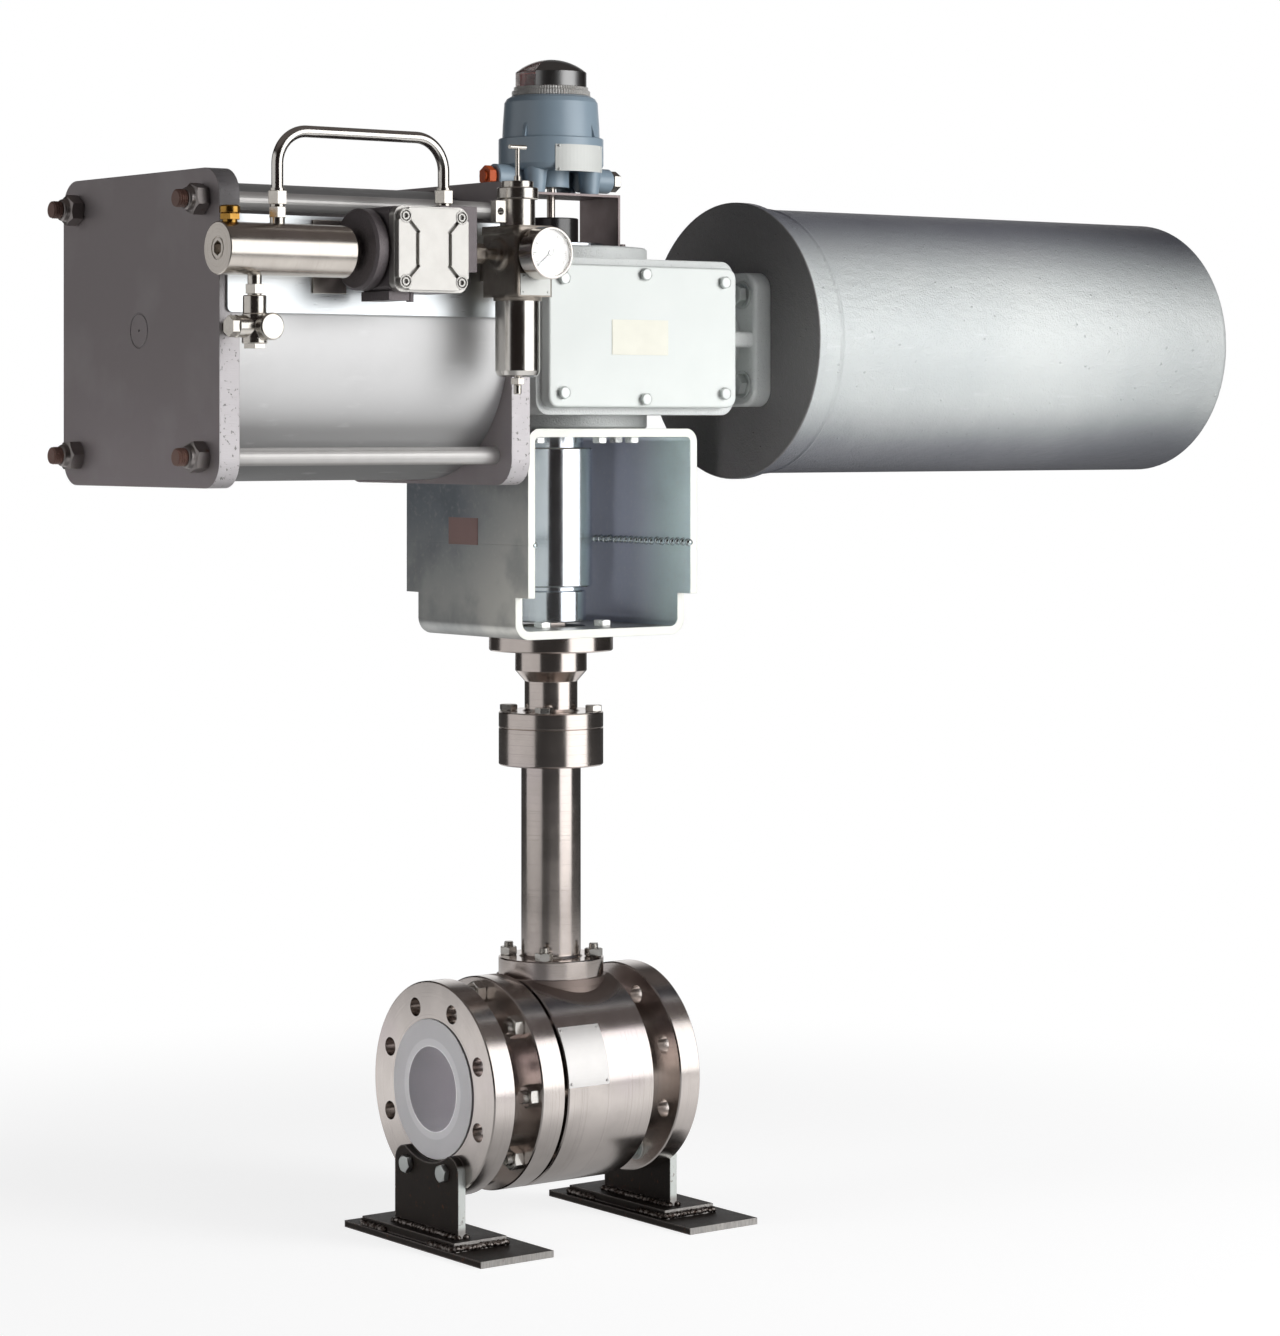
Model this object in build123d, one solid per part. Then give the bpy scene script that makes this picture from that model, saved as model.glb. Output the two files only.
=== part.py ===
from build123d import *
import os
from math import atan2, cos, degrees, radians, sin, sqrt

# Flanged floating ball valve on two feet, with an extension bonnet, a bent-plate bracket,
# a spring-return pneumatic actuator with a scotch yoke, air controls and a domed position
# indicator. Sizes are in millimetres. Every piece is drawn about the point where the stem
# axis crosses the bore, with X along the flow and Z up the stem, and is moved at the end
# so that the origin lies at the centre of the inlet face.

# Ports and flanges, a 4 inch class 300 pattern
bore_d = 100.0
flange_d = 254.0
flange_t = 30.2
flange_bolt_inset = 26.9
flange_pcd = flange_d - 2 * flange_bolt_inset
flange_holes = 8
flange_hole_d = 22.2
face_to_face = 305.0
inlet_to_stem = 173.0
raised_face_gap = 6.5
raised_face_d = flange_pcd - flange_hole_d - 2 * raised_face_gap
raised_face_h = 1.6
liner_disc_t = 4.0
liner_wall = 5.0
throat_step = 2.0
throat_l = 18.0

# Valve body and inlet adapter
body_d = 254.0
body_end = 61.0
body_neck_d = 164.0
adapter_neck_d = 160.0
adapter_joint = 70.0
adapter_flange_t = 33.0
groove_w = 4.5
edge_chamfer = 1.5
cavity_d = 166.0
spigot_gap = 0.1
body_stud_d = 16.0
body_stud_count = 8
body_stud_inset = 18.0
body_stud_pcd = body_d - 2 * body_stud_inset
gasket_gap = 2.0
gasket_d = body_stud_pcd - body_stud_d - 2 * gasket_gap
body_stud_depth = 30.0
body_nut_af = 24.0
body_nut_t = 13.0
stud_tip = 6.0

# Ball, seats and stem
ball_d = 160.0
seat_gap = 0.3
seat_outer_d = 132.0
seat_inner_d = 102.0
seat_start = 46.0
seat_end = 68.0
pocket_gap = 0.2
slot_w = 22.0
slot_floor = 62.0
tang_l = 44.0
tang_gap = 0.1
stem_d = 36.0
stem_collar_d = 50.0
stem_collar_z = 87.0
stem_collar_t = 11.0
stem_top = 614.0
stem_flats = 29.0
running_gap = 0.05
washer_t = 2.0

# Extension bonnet
pad_depth = 5.0
pad_h = body_d / 2 - pad_depth
boss_d = 132.0
boss_flare = 14.0
bonnet_pad_d = 127.0
bonnet_pad_t = 22.0
bonnet_tube_d = 72.0
bonnet_tube_l = 231.0
bonnet_wall = 11.0
bonnet_head_d = 126.5
bonnet_head_t = 45.5
bonnet_bolt_pcd = 104.0
bonnet_bolt_d = 12.0
bonnet_nut_af = 19.0
bonnet_nut_t = 10.0
bonnet_stud_depth = 24.0
packing_d = 54.0
packing_l = 27.0
packing_rings = 4
gland_l = 8.5

# Top adapter, with a mounting flange of 125 mm bolt circle
adapter_plate_t = 19.5
adapter_neck_h = 36.0
adapter_neck_w = 64.0
adapter_cone_h = 13.0
adapter_collar_d = 86.6
adapter_collar_h = 24.0
mount_flange_d = 150.0
mount_flange_t = 20.0
mount_pcd = 125.0
mount_bolt_d = 12.0
mount_bolt_af = 19.0
adapter_bolt_l = 42.0
bolt_head_t = 7.5

# Bracket of two U channels bent from plate and butt welded
bracket_t = 10.0
bracket_w = 249.0
bracket_h = 248.0
bracket_depth = 255.0
bracket_foot_depth = 204.0
bracket_step = 50.0
bracket_seam = 112.0
upper_bend_r = 16.0
lower_bend_r = 20.0
bracket_hole_d = 124.0
bracket_bolt_inset = 25.5
bracket_bolt_pcd = bracket_w - 2 * bracket_bolt_inset
bracket_bolt_count = 8
bracket_bolt_d = 10.0
bracket_bolt_af = 16.0
bracket_bolt_depth = 13.0
seam_r = 2.5

# Drive coupling between the stem and the yoke
coupling_d = 100.0
coupling_foot_d = 85.0
coupling_foot_h = 38.0
coupling_groove_h = 4.5
coupling_gap = 5.0
coupling_top_gap = 13.0
coupling_neck_d = 78.0
drive_d = 64.0
drive_l = 74.0
drive_flats = 52.0

# Feet
foot_w = 103.0
foot_l = 289.0
foot_t = 8.0
foot_floor = 183.3
pad_t = 10.0
pad_w = 74.0
pad_l = 196.0
pad_shift = 15.0
upright_t = 10.0
upright_w = 134.0
upright_top = 72.0
upright_corner = 20.0
upright_arch_gap = 2.5
inlet_foot_edge = 203.0
inlet_pad_inset = 5.0
outlet_foot_edge = 204.0
outlet_pad_inset = 20.0
foot_bolt_d = 12.0
foot_bolt_af = 19.0
foot_washer_d = 32.0
foot_washer_t = 3.0
weld_r = 4.0

# Actuator cylinder
axis_offset = 83.0
axis_height = 107.5
head_side = 342.0
head_t = 25.0
head_corner = 30.0
inner_head_face = 211.9
cylinder_gap = 353.5
tube_d = 332.0
tube_wall = 6.0
tube_groove = 6.0
rod_pitch = 275.0
tie_rod_d = 20.0
tie_nut_af = 30.0
tie_nut_t = 16.0
lock_collar_t = 7.0
tie_rod_tip = 11.0
rod_seat_depth = 20.0
centre_mark_d = 39.0
piston_t = 40.0
piston_clear = 20.0
piston_gap = 0.6
piston_seal_w = 9.0
piston_seal_depth = 8.0
piston_rod_d = 40.0
piston_nut_d = 56.0
piston_nut_t = 14.0

# Yoke housing and mechanism
housing_w = 290.0
housing_h = 183.0
housing_wall = 16.0
housing_corner = 18.0
hub_d = 232.0
hub_rise = 18.0
hub_cap_d = 130.0
hub_cap_t = 6.4
bush_wall = 6.0
cover_w = 275.0
cover_h = 166.0
cover_t = 16.0
cover_face = 187.4
cover_corner = 13.0
cover_screw_x = 118.0
cover_screw_corner_z = 66.0
cover_screw_middle_z = 73.0
cover_screw_d = 8.0
cover_screw_af = 13.0
cover_screw_head = 6.0
port_flange_h = 162.0
port_flange_y = 154.0
port_flange_t = 25.0
port_flange_corner = 22.0
port_neck_d = 100.0
port_rib_t = 19.0
port_bolt_pitch = 108.0
port_bolt_d = 16.0
port_bolt_af = 24.0
port_bolt_head = 10.0
port_washer_d = 34.0
port_washer_t = 3.0
yoke_hub_d = 100.0
yoke_plate_t = 16.0
yoke_plate_gap = 84.0
yoke_pin_d = 30.0
yoke_slot_w = 44.0
yoke_slot_wall = 12.0
block_w = 60.0
block_h = 80.0
block_y = 53.0
rib_t = 10.0
rib_inset = 6.0
casting_round = 5.0

# Spring can
can_disc_d = 339.0
can_disc_t = 13.0
can_d = 325.0
can_wall = 6.0
can_end_t = 14.0
can_l = 701.0
can_corner = 11.0
can_bead_x = 26.0
can_bead_w = 7.0
can_bead_h = 1.2
spring_plate_d = 240.0
spring_plate_t = 12.0
spring_plate_gap = 20.0
spring_d = 210.0
spring_wire = 22.0
spring_turns = 6.0
wire_sides = 8

# Air controls
plate_t = 3.0
plate_corner = 6.0
plate_left = 607.0
plate_right = 220.0
plate_low = 905.0
plate_high = 1010.0
control_y = 305.0
manifold_d = 56.0
manifold_z = 970.0
manifold_left = 648.0
manifold_right = 482.0
manifold_rim = 1.0
manifold_shoulder_l = 10.0
manifold_shoulder_h = 8.0
manifold_socket_af = 14.0
manifold_socket_depth = 10.0
manifold_mark_gap = 4.0
manifold_mark_w = 1.5
mark_depth = 0.8
manifold_foot_h = 33.6
manifold_foot_left = 40.0
manifold_foot_right = 20.0
manifold_pad_t = 3.0
manifold_pad_left = 20.0
manifold_pad_right = 22.0
manifold_pad_low = 22.0
manifold_pad_high = 4.0
valve_neck_d = 22.0
valve_disc_d = 88.0
valve_disc_t = 18.0
valve_disc_x = 460.0
valve_disc_chamfer = 3.0
valve_disc_seat_d = 58.0
solenoid_w = 94.0
solenoid_h = 92.0
solenoid_corner = 8.0
solenoid_front = 344.0
solenoid_back = 290.0
solenoid_z = manifold_z + 3.0
solenoid_foot_h = 50.0
solenoid_foot_inset = 20.0
solenoid_foot_reach = 10.0
port_block_x = 338.0
port_block_h = 22.0
port_block_rise = 3.0
port_block_inset = 12.0
port_block_back = 4.0
entry_block_w = 26.0
entry_block_h = 9.0
earth_lug_d = 8.0
earth_lug_l = 10.0
earth_lug_x = 32.0
solenoid_cover_t = 16.0
cover_raise = 6.0
cover_cut = 16.0
cover_inset = 2.0
cap_boss_d = 15.0
cap_boss_inset = 11.0
cap_groove_d = 12.0
cap_groove_w = 1.5
cap_socket_af = 5.0
cap_socket_depth = 3.0
valley_w = 4.0
valley_depth = 4.5
centre_label_w = 38.0
centre_label_h = 34.0
regulator_x = 265.0
regulator_w = 50.0
regulator_depth = 66.0
regulator_low = 926.0
regulator_high = 1004.0
regulator_chamfer = 3.0
regulator_rim_h = 9.0
regulator_rim_out = 2.0
regulator_foot_w = 34.0
regulator_foot_h = 40.0
inlet_boss_d = 34.0
inlet_boss_l = 4.0
nipple_d = 13.0
nipple_nut_start = 12.0
nipple_nut_l = 14.0
regulator_bonnet_d = 39.0
regulator_bonnet_h = 30.0
regulator_ring_d = 46.0
regulator_ring_h = 13.0
regulator_cap_h = 7.0
ear_reach = 13.0
ear_w = 10.0
ear_low = 4.0
ear_high = 28.0
ear_hole_d = 8.0
screw_d = 8.0
screw_start = 21.0
screw_l = 35.0
screw_rod_d = 5.0
screw_h = 88.0
screw_bar_l = 22.0
bowl_d = 49.6
bowl_low = 838.0
bowl_collar_h = 4.0
bowl_wall = 2.5
bowl_floor = 8.0
bowl_corner = 7.0
drain_stem_d = 8.0
drain_nut_af = 14.0
drain_nut_t = 7.0
drain_nut_gap = 1.0
drain_knob_d = 9.0
drain_knob_l = 11.0
gauge_d = 57.6
gauge_depth = 26.0
gauge_z = solenoid_z
gauge_rim = 3.0
gauge_stem = 7.0
gauge_stem_d = 14.0
dial_depth = 5.0
pointer_shaft_d = 2.4
pointer_hub_d = 6.0
pointer_hub_t = 1.4
pointer_w = 1.4
pointer_t = 0.8
pointer_tail = 6.0
pointer_rim_gap = 4.0
pointer_rest = -40.0
lens_t = 1.6
supply_port_d = 11.8
supply_port_l = 14.0
air_tube_d = 12.7
tube_gap = 0.4
loop_left = 575.0
loop_right = 363.5
loop_top = 1096.5
loop_bend = 36.0
loop_seat = 8.0
tube_seat_z = 12.0
nut_af = 19.0
fitting_d = 16.0
fitting_body_af = 17.0
fitting_body_l = 11.0
fitting_nut_l = 14.0
fitting_collar_l = 3.0
fitting_gap = 3.0
left_fitting_h = 22.0
right_fitting_h = 4.0
vent_d = 16.0
vent_hex_af = 20.0
vent_hex_z = 6.0
vent_cap_d = 22.0
vent_cap_z = 12.0
vent_cap_h = 9.0
vent_mouth_d = 12.0
vent_x = 15.0
seat_depth = 4.0
exhaust_stub_d = 18.0
exhaust_stub_depth = 4.5
exhaust_pipe_d = 15.0
exhaust_top_af = 19.0
exhaust_top_t = 10.0
exhaust_top_gap = 12.0
exhaust_neck_d = 25.0
exhaust_neck_h = 21.0
exhaust_body_d = 27.0
exhaust_body_h = 32.0
exhaust_end_af = 22.0
exhaust_end_t = 6.0
exhaust_front_d = 29.0
exhaust_front_l = 29.0
exhaust_front_x = 8.0
exhaust_side_d = 24.0
exhaust_side_l = 24.0
exhaust_side_af = 20.0
exhaust_side_t = 9.0

# Position indicator
switch_leg_x = 72.0
switch_leg_w = 79.0
switch_plate_t = 3.0
switch_plate_z = 1064.0
switch_foot_l = 18.0
switch_screw_d = 9.0
switch_screw_h = 4.0
switch_screw_inset = 9.0
switch_hole_d = 20.0
indicator_hub_d = 66.0
indicator_hub_h = 30.0
indicator_shaft_d = 10.0
spindle_rise = 2.0
switch_leg_h = 27.0
switch_base_d = 127.0
switch_base_h = 40.0
base_leg_foot_d = 22.0
base_leg_top_d = 30.0
base_leg_x = 40.0
base_leg_y = 24.0
base_hub_d = 44.0
base_hub_z = 8.0
base_floor = 12.0
base_corner = 8.0
leg_joint = 6.0
switch_cover_d = 118.0
switch_cover_top_d = 113.0
switch_cover_h = 51.0
switch_wall = 4.0
cover_rib_count = 4
cover_rib_w = 4.0
cover_rib_h = 30.0
cover_rib_out = 4.0
clear_ring_d = 95.0
clear_ring_h = 11.0
clear_step_d = 90.0
clear_step_h = 4.0
dome_d = 86.0
dome_side = 18.0
dome_rise = 16.0
dome_wall = 2.5
rotor_gap = 2.5
rotor_wall = 3.0
rotor_floor = 2.0
entry_d = 30.0
entry_reach = 22.0
entry_z = 1083.0
plug_collar_d = 20.0
plug_collar_t = 3.0
plug_af = 22.0
plug_hex_t = 9.0
plug_tip_d = 14.0
plug_tip_t = 3.0

# Heights up the stem axis
bonnet_tube_z = pad_h + bonnet_pad_t
bonnet_head_z = bonnet_tube_z + bonnet_tube_l
bonnet_top_z = bonnet_head_z + bonnet_head_t
adapter_plate_z = bonnet_top_z + adapter_plate_t
adapter_neck_z = adapter_plate_z + adapter_neck_h
adapter_cone_z = adapter_neck_z + adapter_cone_h
adapter_collar_z = adapter_cone_z + adapter_collar_h
bracket_z = adapter_collar_z + mount_flange_t
seam_z = bracket_z + bracket_seam
actuator_z = bracket_z + bracket_h
axis_z = actuator_z + axis_height
axis_y = -axis_offset
packing_z = bonnet_top_z - gland_l - packing_l
housing_top_z = axis_z + housing_h / 2
hub_top_z = housing_top_z + hub_rise
cap_top_z = hub_top_z + hub_cap_t

switch_base_z = switch_plate_z + switch_leg_h
switch_top_z = switch_base_z + switch_base_h
skirt_z = switch_top_z + switch_cover_h
dome_z = skirt_z + clear_ring_h
rotor_z = skirt_z + rotor_floor

# Places along the flow
inlet_x = -inlet_to_stem
outlet_x = face_to_face - inlet_to_stem
joint_x = -adapter_joint
body_x = joint_x + groove_w

# Places along the actuator
inner_face_x = -inner_head_face
inner_back_x = inner_face_x - head_t
outer_face_x = inner_back_x - cylinder_gap
outer_back_x = outer_face_x - head_t
can_x = inner_head_face
spring_plate_x = can_x + can_disc_t + spring_plate_gap
plate_y = axis_y - head_side / 2
cover_back_y = cover_face - cover_t


# Basic shapes

def box(x0, x1, y0, y1, z0, z1):
    return Pos((x0 + x1) / 2, (y0 + y1) / 2, (z0 + z1) / 2) * Box(x1 - x0, y1 - y0, z1 - z0)


def lathe(*points):
    """Solid turned about Z from a closed profile of (radius, height) points."""
    outline = Polyline(*[(r, 0, z) for r, z in points], close=True)
    return revolve(make_face(outline), axis=Axis.Z)


def puck(d, z0, z1, chamfer=0.0):
    """Cylinder about Z with both rims chamfered."""
    r = d / 2
    if chamfer == 0:
        return Pos(0, 0, (z0 + z1) / 2) * Cylinder(r, z1 - z0)
    return lathe((0, z0), (r - chamfer, z0), (r, z0 + chamfer),
                 (r, z1 - chamfer), (r - chamfer, z1), (0, z1))


def ring(d_in, d_out, z0, z1):
    return puck(d_out, z0, z1) - puck(d_in, z0 - 1, z1 + 1)


def hex_prism(af, z0, z1):
    return Pos(0, 0, z0) * extrude(RegularPolygon(af / 2, 6, major_radius=False), z1 - z0)


def along_x(shape, x=0.0, y=0.0, z=0.0):
    """Turns a shape drawn up the Z axis to point along +X."""
    return Pos(x, y, z) * Rot(0, 90, 0) * shape


def along_y(shape, x=0.0, y=0.0, z=0.0):
    """Turns a shape drawn up the Z axis to point along +Y."""
    return Pos(x, y, z) * Rot(-90, 0, 0) * shape


def slab_x(x0, x1, y, z, wy, wz, corner):
    """Plate across X with rounded corners, centred on y and z."""
    return Pos(x0, y, z) * extrude(Plane.YZ * RectangleRounded(wy, wz, corner), x1 - x0)


def slab_y(y0, y1, x, z, wx, wz, corner):
    """Plate across Y with rounded corners, centred on x and z."""
    return Pos(x, y1, z) * extrude(Plane.XZ * RectangleRounded(wx, wz, corner), y1 - y0)


def around(shape, count, pcd, start=0.0):
    """Copies of a shape drawn on the Z axis, spaced on a circle."""
    step = 360 / count
    return [Rot(0, 0, start + step * i) * Pos(pcd / 2, 0, 0) * shape for i in range(count)]


def group(*shapes):
    """Separate solids kept in one node."""
    return Compound([solid for shape in shapes for solid in shape.solids()])


def bolt(d, af, head_t, length):
    """Hexagon bolt with its head seat at z = 0 and its shank pointing down."""
    return puck(d, -length, 0) + hex_prism(af, 0, head_t)


def nut(d, af, t):
    return hex_prism(af, 0, t) - puck(d + 0.2, -1, t + 1)


# Valve

def flange_bolt_holes():
    """Holes of one pipe flange, drawn about Z and straddling the centre line."""
    hole = puck(flange_hole_d, -flange_t * 2, flange_t * 2)
    return around(hole, flange_holes, flange_pcd, 180 / flange_holes)


def valve_body():
    r, c = body_d / 2, edge_chamfer
    metal_x = outlet_x - raised_face_h
    flange_back = outlet_x - raised_face_h - flange_t
    body = along_x(lathe((0, body_x), (r - c, body_x), (r, body_x + c), (r, body_end - c),
                         (r - c, body_end), (body_neck_d / 2, body_end),
                         (body_neck_d / 2, flange_back), (flange_d / 2 - c, flange_back),
                         (flange_d / 2, flange_back + c), (flange_d / 2, metal_x - c),
                         (flange_d / 2 - c, metal_x), (0, metal_x)))
    boss_r = boss_d / 2
    boss = lathe((0, 0), (boss_r + boss_flare, 0), (boss_r + boss_flare, pad_h - 2.4 * boss_flare),
                 (boss_r + boss_flare / 3, pad_h - 1.5 * boss_flare), (boss_r, pad_h - 0.6 * boss_flare),
                 (boss_r, pad_h), (0, pad_h))
    body += boss & box(body_x + c, boss_r, -r, r, 0, pad_h)
    body -= box(body_x - 1, body_end + 1, -r, r, pad_h, r + 1)
    liner_r = bore_d / 2 + liner_wall
    body -= along_x(lathe((0, body_x - 1), (cavity_d / 2, body_x - 1),
                          (cavity_d / 2, seat_start),
                          (seat_outer_d / 2 + pocket_gap, seat_start),
                          (seat_outer_d / 2 + pocket_gap, seat_end),
                          (liner_r, seat_end), (liner_r, metal_x - liner_disc_t),
                          (raised_face_d / 2 + pocket_gap, metal_x - liner_disc_t),
                          (raised_face_d / 2 + pocket_gap, outlet_x), (0, outlet_x)))
    collar_top = stem_collar_z + stem_collar_t + washer_t
    body -= puck(stem_collar_d + 2 * pocket_gap, 0, collar_top)
    body -= puck(stem_d + 2 * running_gap, 0, pad_h + 1)
    for hole in flange_bolt_holes():
        body -= along_x(hole, outlet_x)
    tapped = puck(body_stud_d + 0.2, -1, body_stud_depth)
    for hole in around(tapped, body_stud_count, body_stud_pcd):
        body -= along_x(hole, body_x)
    tapped = puck(bonnet_bolt_d + 0.2, -bonnet_stud_depth, 1)
    for hole in around(tapped, 4, bonnet_bolt_pcd, 45):
        body -= Pos(0, 0, pad_h) * hole
    return body


def inlet_adapter():
    r, c = body_d / 2, edge_chamfer
    metal_x = inlet_x + raised_face_h
    flange_back = metal_x + flange_t
    plate_x = joint_x - adapter_flange_t
    liner_r = bore_d / 2 + liner_wall
    spigot_r = cavity_d / 2 - spigot_gap
    pocket_r = seat_outer_d / 2 + pocket_gap
    adapter = along_x(lathe((0, metal_x), (flange_d / 2 - c, metal_x),
                            (flange_d / 2, metal_x + c), (flange_d / 2, flange_back - c),
                            (flange_d / 2 - c, flange_back), (adapter_neck_d / 2, flange_back),
                            (adapter_neck_d / 2, plate_x), (r - c, plate_x),
                            (r, plate_x + c), (r, joint_x - c), (r - c, joint_x),
                            (spigot_r, joint_x), (spigot_r, -seat_start), (0, -seat_start)))
    adapter -= along_x(lathe((0, inlet_x), (raised_face_d / 2 + pocket_gap, inlet_x),
                             (raised_face_d / 2 + pocket_gap, metal_x + liner_disc_t),
                             (liner_r, metal_x + liner_disc_t), (liner_r, -seat_end),
                             (pocket_r, -seat_end), (pocket_r, 0), (0, 0)))
    for hole in flange_bolt_holes():
        adapter -= along_x(hole, inlet_x)
    hole = puck(body_stud_d + 1, -adapter_flange_t - 1, 1)
    for hole in around(hole, body_stud_count, body_stud_pcd):
        adapter -= along_x(hole, joint_x)
    return adapter


def body_gasket():
    return along_x(ring(cavity_d + 2 * pocket_gap, gasket_d, joint_x, body_x))


def body_studs():
    nut_x = joint_x - adapter_flange_t
    stud = puck(body_stud_d, -adapter_flange_t - body_nut_t - stud_tip, groove_w + body_stud_depth - 1)
    studs = [along_x(s, joint_x) for s in around(stud, body_stud_count, body_stud_pcd)]
    nuts = around(nut(body_stud_d, body_nut_af, body_nut_t), body_stud_count, body_stud_pcd)
    return group(*studs, *[along_x(n, nut_x - body_nut_t) for n in nuts])


def port_liner(face_x, side):
    """PTFE liner of one port, with its face disc, drawn at the given face."""
    disc = liner_disc_t + raised_face_h
    reach = abs(face_x) - seat_end
    r = bore_d / 2
    outer_r = r + liner_wall - spigot_gap
    liner = lathe((r, 0), (raised_face_d / 2, 0), (raised_face_d / 2, disc), (outer_r, disc),
                  (outer_r, reach), (r + throat_step, reach), (r + throat_step, reach - throat_l),
                  (r, reach - throat_l))
    turn = 90 if side < 0 else -90
    return Pos(face_x, 0, 0) * Rot(0, turn, 0) * liner


def port_liners():
    return group(port_liner(inlet_x, -1), port_liner(outlet_x, 1))


def seat_rings():
    seat = ring(seat_inner_d, seat_outer_d, seat_start, seat_end)
    seat -= Sphere(ball_d / 2 + seat_gap)
    return group(along_x(seat), Rot(0, 0, 180) * along_x(seat))


def ball():
    shape = Sphere(ball_d / 2)
    shape -= along_y(puck(bore_d, -ball_d, ball_d))
    return shape - box(-ball_d, ball_d, -slot_w / 2, slot_w / 2, slot_floor, ball_d)


def stem():
    collar_top = stem_collar_z + stem_collar_t
    shape = lathe((0, stem_collar_z), (stem_collar_d / 2, stem_collar_z),
                  (stem_collar_d / 2, collar_top), (stem_d / 2, collar_top),
                  (stem_d / 2, stem_top), (0, stem_top))
    flats_z = bracket_z + coupling_gap
    square = box(-stem_d, stem_d, -stem_flats / 2, stem_flats / 2, flats_z, stem_top + 1)
    shape = (shape & puck(stem_d * 2, 0, flats_z)) + (shape & square)
    tang_w = slot_w - 2 * tang_gap
    return shape + box(-tang_l / 2, tang_l / 2, -tang_w / 2, tang_w / 2,
                       slot_floor + tang_gap, stem_collar_z)


def stem_packing():
    hole = stem_d + 2 * running_gap
    pitch = packing_l / packing_rings
    rings = [ring(hole, packing_d, packing_z + pitch * i, packing_z + pitch * (i + 1) - 0.1)
             for i in range(packing_rings)]
    collar_top = stem_collar_z + stem_collar_t
    thrust = ring(hole, stem_collar_d, collar_top + running_gap, collar_top + washer_t)
    return group(thrust, *rings)


def extension_bonnet():
    c = edge_chamfer
    pad_r, head_r, tube_r = bonnet_pad_d / 2, bonnet_head_d / 2, bonnet_tube_d / 2
    shape = lathe((0, pad_h), (pad_r, pad_h), (pad_r, bonnet_tube_z - c),
                  (pad_r - c, bonnet_tube_z), (tube_r + 3, bonnet_tube_z),
                  (tube_r, bonnet_tube_z + 3), (tube_r, bonnet_head_z - 2),
                  (tube_r + 2, bonnet_head_z), (head_r - c, bonnet_head_z),
                  (head_r, bonnet_head_z + c), (head_r, bonnet_top_z - c / 2),
                  (head_r - c / 2, bonnet_top_z), (0, bonnet_top_z))
    shape -= puck(bonnet_tube_d - 2 * bonnet_wall, pad_h - 1, packing_z)
    shape -= puck(packing_d + 2 * spigot_gap, packing_z, bonnet_top_z + 1)
    hole = puck(bonnet_bolt_d + 1, pad_h - 1, bonnet_tube_z + 1)
    for cut in around(hole, 4, bonnet_bolt_pcd, 45):
        shape -= cut
    tapped = puck(bonnet_bolt_d + 0.2, bonnet_top_z + adapter_plate_t - adapter_bolt_l - 1, bonnet_top_z + 1)
    for cut in around(tapped, 4, bonnet_bolt_pcd, 45):
        shape -= cut
    return shape


def bonnet_fasteners():
    """Four studs with nuts on the bonnet's pad and four bolts of the same size on its head."""
    low = pad_h - bonnet_stud_depth + 1
    stud = puck(bonnet_bolt_d, low, bonnet_tube_z + bonnet_nut_t + stud_tip)
    stud_nut = Pos(0, 0, bonnet_tube_z) * nut(bonnet_bolt_d, bonnet_nut_af, bonnet_nut_t)
    head_bolt = Pos(0, 0, adapter_plate_z) * bolt(bonnet_bolt_d, bonnet_nut_af, bolt_head_t, adapter_bolt_l)
    placed = []
    for piece in (stud, stud_nut, head_bolt):
        placed += around(piece, 4, bonnet_bolt_pcd, 45)
    return group(*placed)


def top_adapter():
    c = edge_chamfer
    head_r, neck_r, collar_r = bonnet_head_d / 2, adapter_neck_w / 2, adapter_collar_d / 2
    flange_r = mount_flange_d / 2
    shape = lathe((0, bonnet_top_z), (head_r - c / 2, bonnet_top_z),
                  (head_r, bonnet_top_z + c / 2), (head_r, adapter_plate_z - c),
                  (head_r - c, adapter_plate_z), (neck_r + 3, adapter_plate_z),
                  (neck_r, adapter_plate_z + 3), (neck_r, adapter_neck_z),
                  (collar_r, adapter_cone_z), (collar_r, adapter_collar_z),
                  (flange_r - c, adapter_collar_z), (flange_r, adapter_collar_z + c),
                  (flange_r, bracket_z - c), (flange_r - c, bracket_z), (0, bracket_z))
    shape += puck(packing_d, bonnet_top_z - gland_l, bonnet_top_z)
    shape -= puck(stem_d + 2 * running_gap, bonnet_top_z - gland_l - 1, bracket_z + 1)
    hole = puck(bonnet_bolt_d + 1, bonnet_top_z - 1, adapter_plate_z + 1)
    for cut in around(hole, 4, bonnet_bolt_pcd, 45):
        shape -= cut
    tapped = puck(mount_bolt_d + 0.2, adapter_collar_z - 1, bracket_z + 1)
    for cut in around(tapped, 4, mount_pcd, 45):
        shape -= cut
    return shape


# Feet

def foot(base_x, pad_x, upright_x):
    """Base plate, pad and upright welded together; the upright starts at upright_x."""
    pad_z = foot_t - foot_floor
    top_z = pad_z + pad_t
    shape = box(base_x, base_x + foot_w, -foot_l / 2, foot_l / 2, -foot_floor, pad_z)
    pad_y0 = pad_shift - pad_l / 2
    pad_y1 = pad_shift + pad_l / 2
    shape += box(pad_x, pad_x + pad_w, pad_y0, pad_y1, pad_z, top_z)
    height = -upright_top - top_z
    plate = slab_x(upright_x, upright_x + upright_t, 0, top_z + height / 2, upright_w, height,
                   upright_corner)
    plate += box(upright_x, upright_x + upright_t, -upright_w / 2, upright_w / 2,
                 top_z, top_z + height / 2)
    arch_d = raised_face_d + 2 * upright_arch_gap
    plate -= along_x(puck(arch_d, upright_x - 1, upright_x + upright_t + 1))
    for hole in around(puck(foot_bolt_d + 1, upright_x - 1, upright_x + upright_t + 1),
                       flange_holes, flange_pcd, 180 / flange_holes):
        plate -= along_x(hole)
    shape += plate
    for side_x in (upright_x, upright_x + upright_t):
        shape += along_y(puck(2 * weld_r, -upright_w / 2, upright_w / 2), side_x, 0, top_z)
    for side_y in (pad_y0, pad_y1):
        shape += along_x(puck(2 * weld_r, pad_x, pad_x + pad_w), 0, side_y, pad_z)
    return shape


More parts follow.
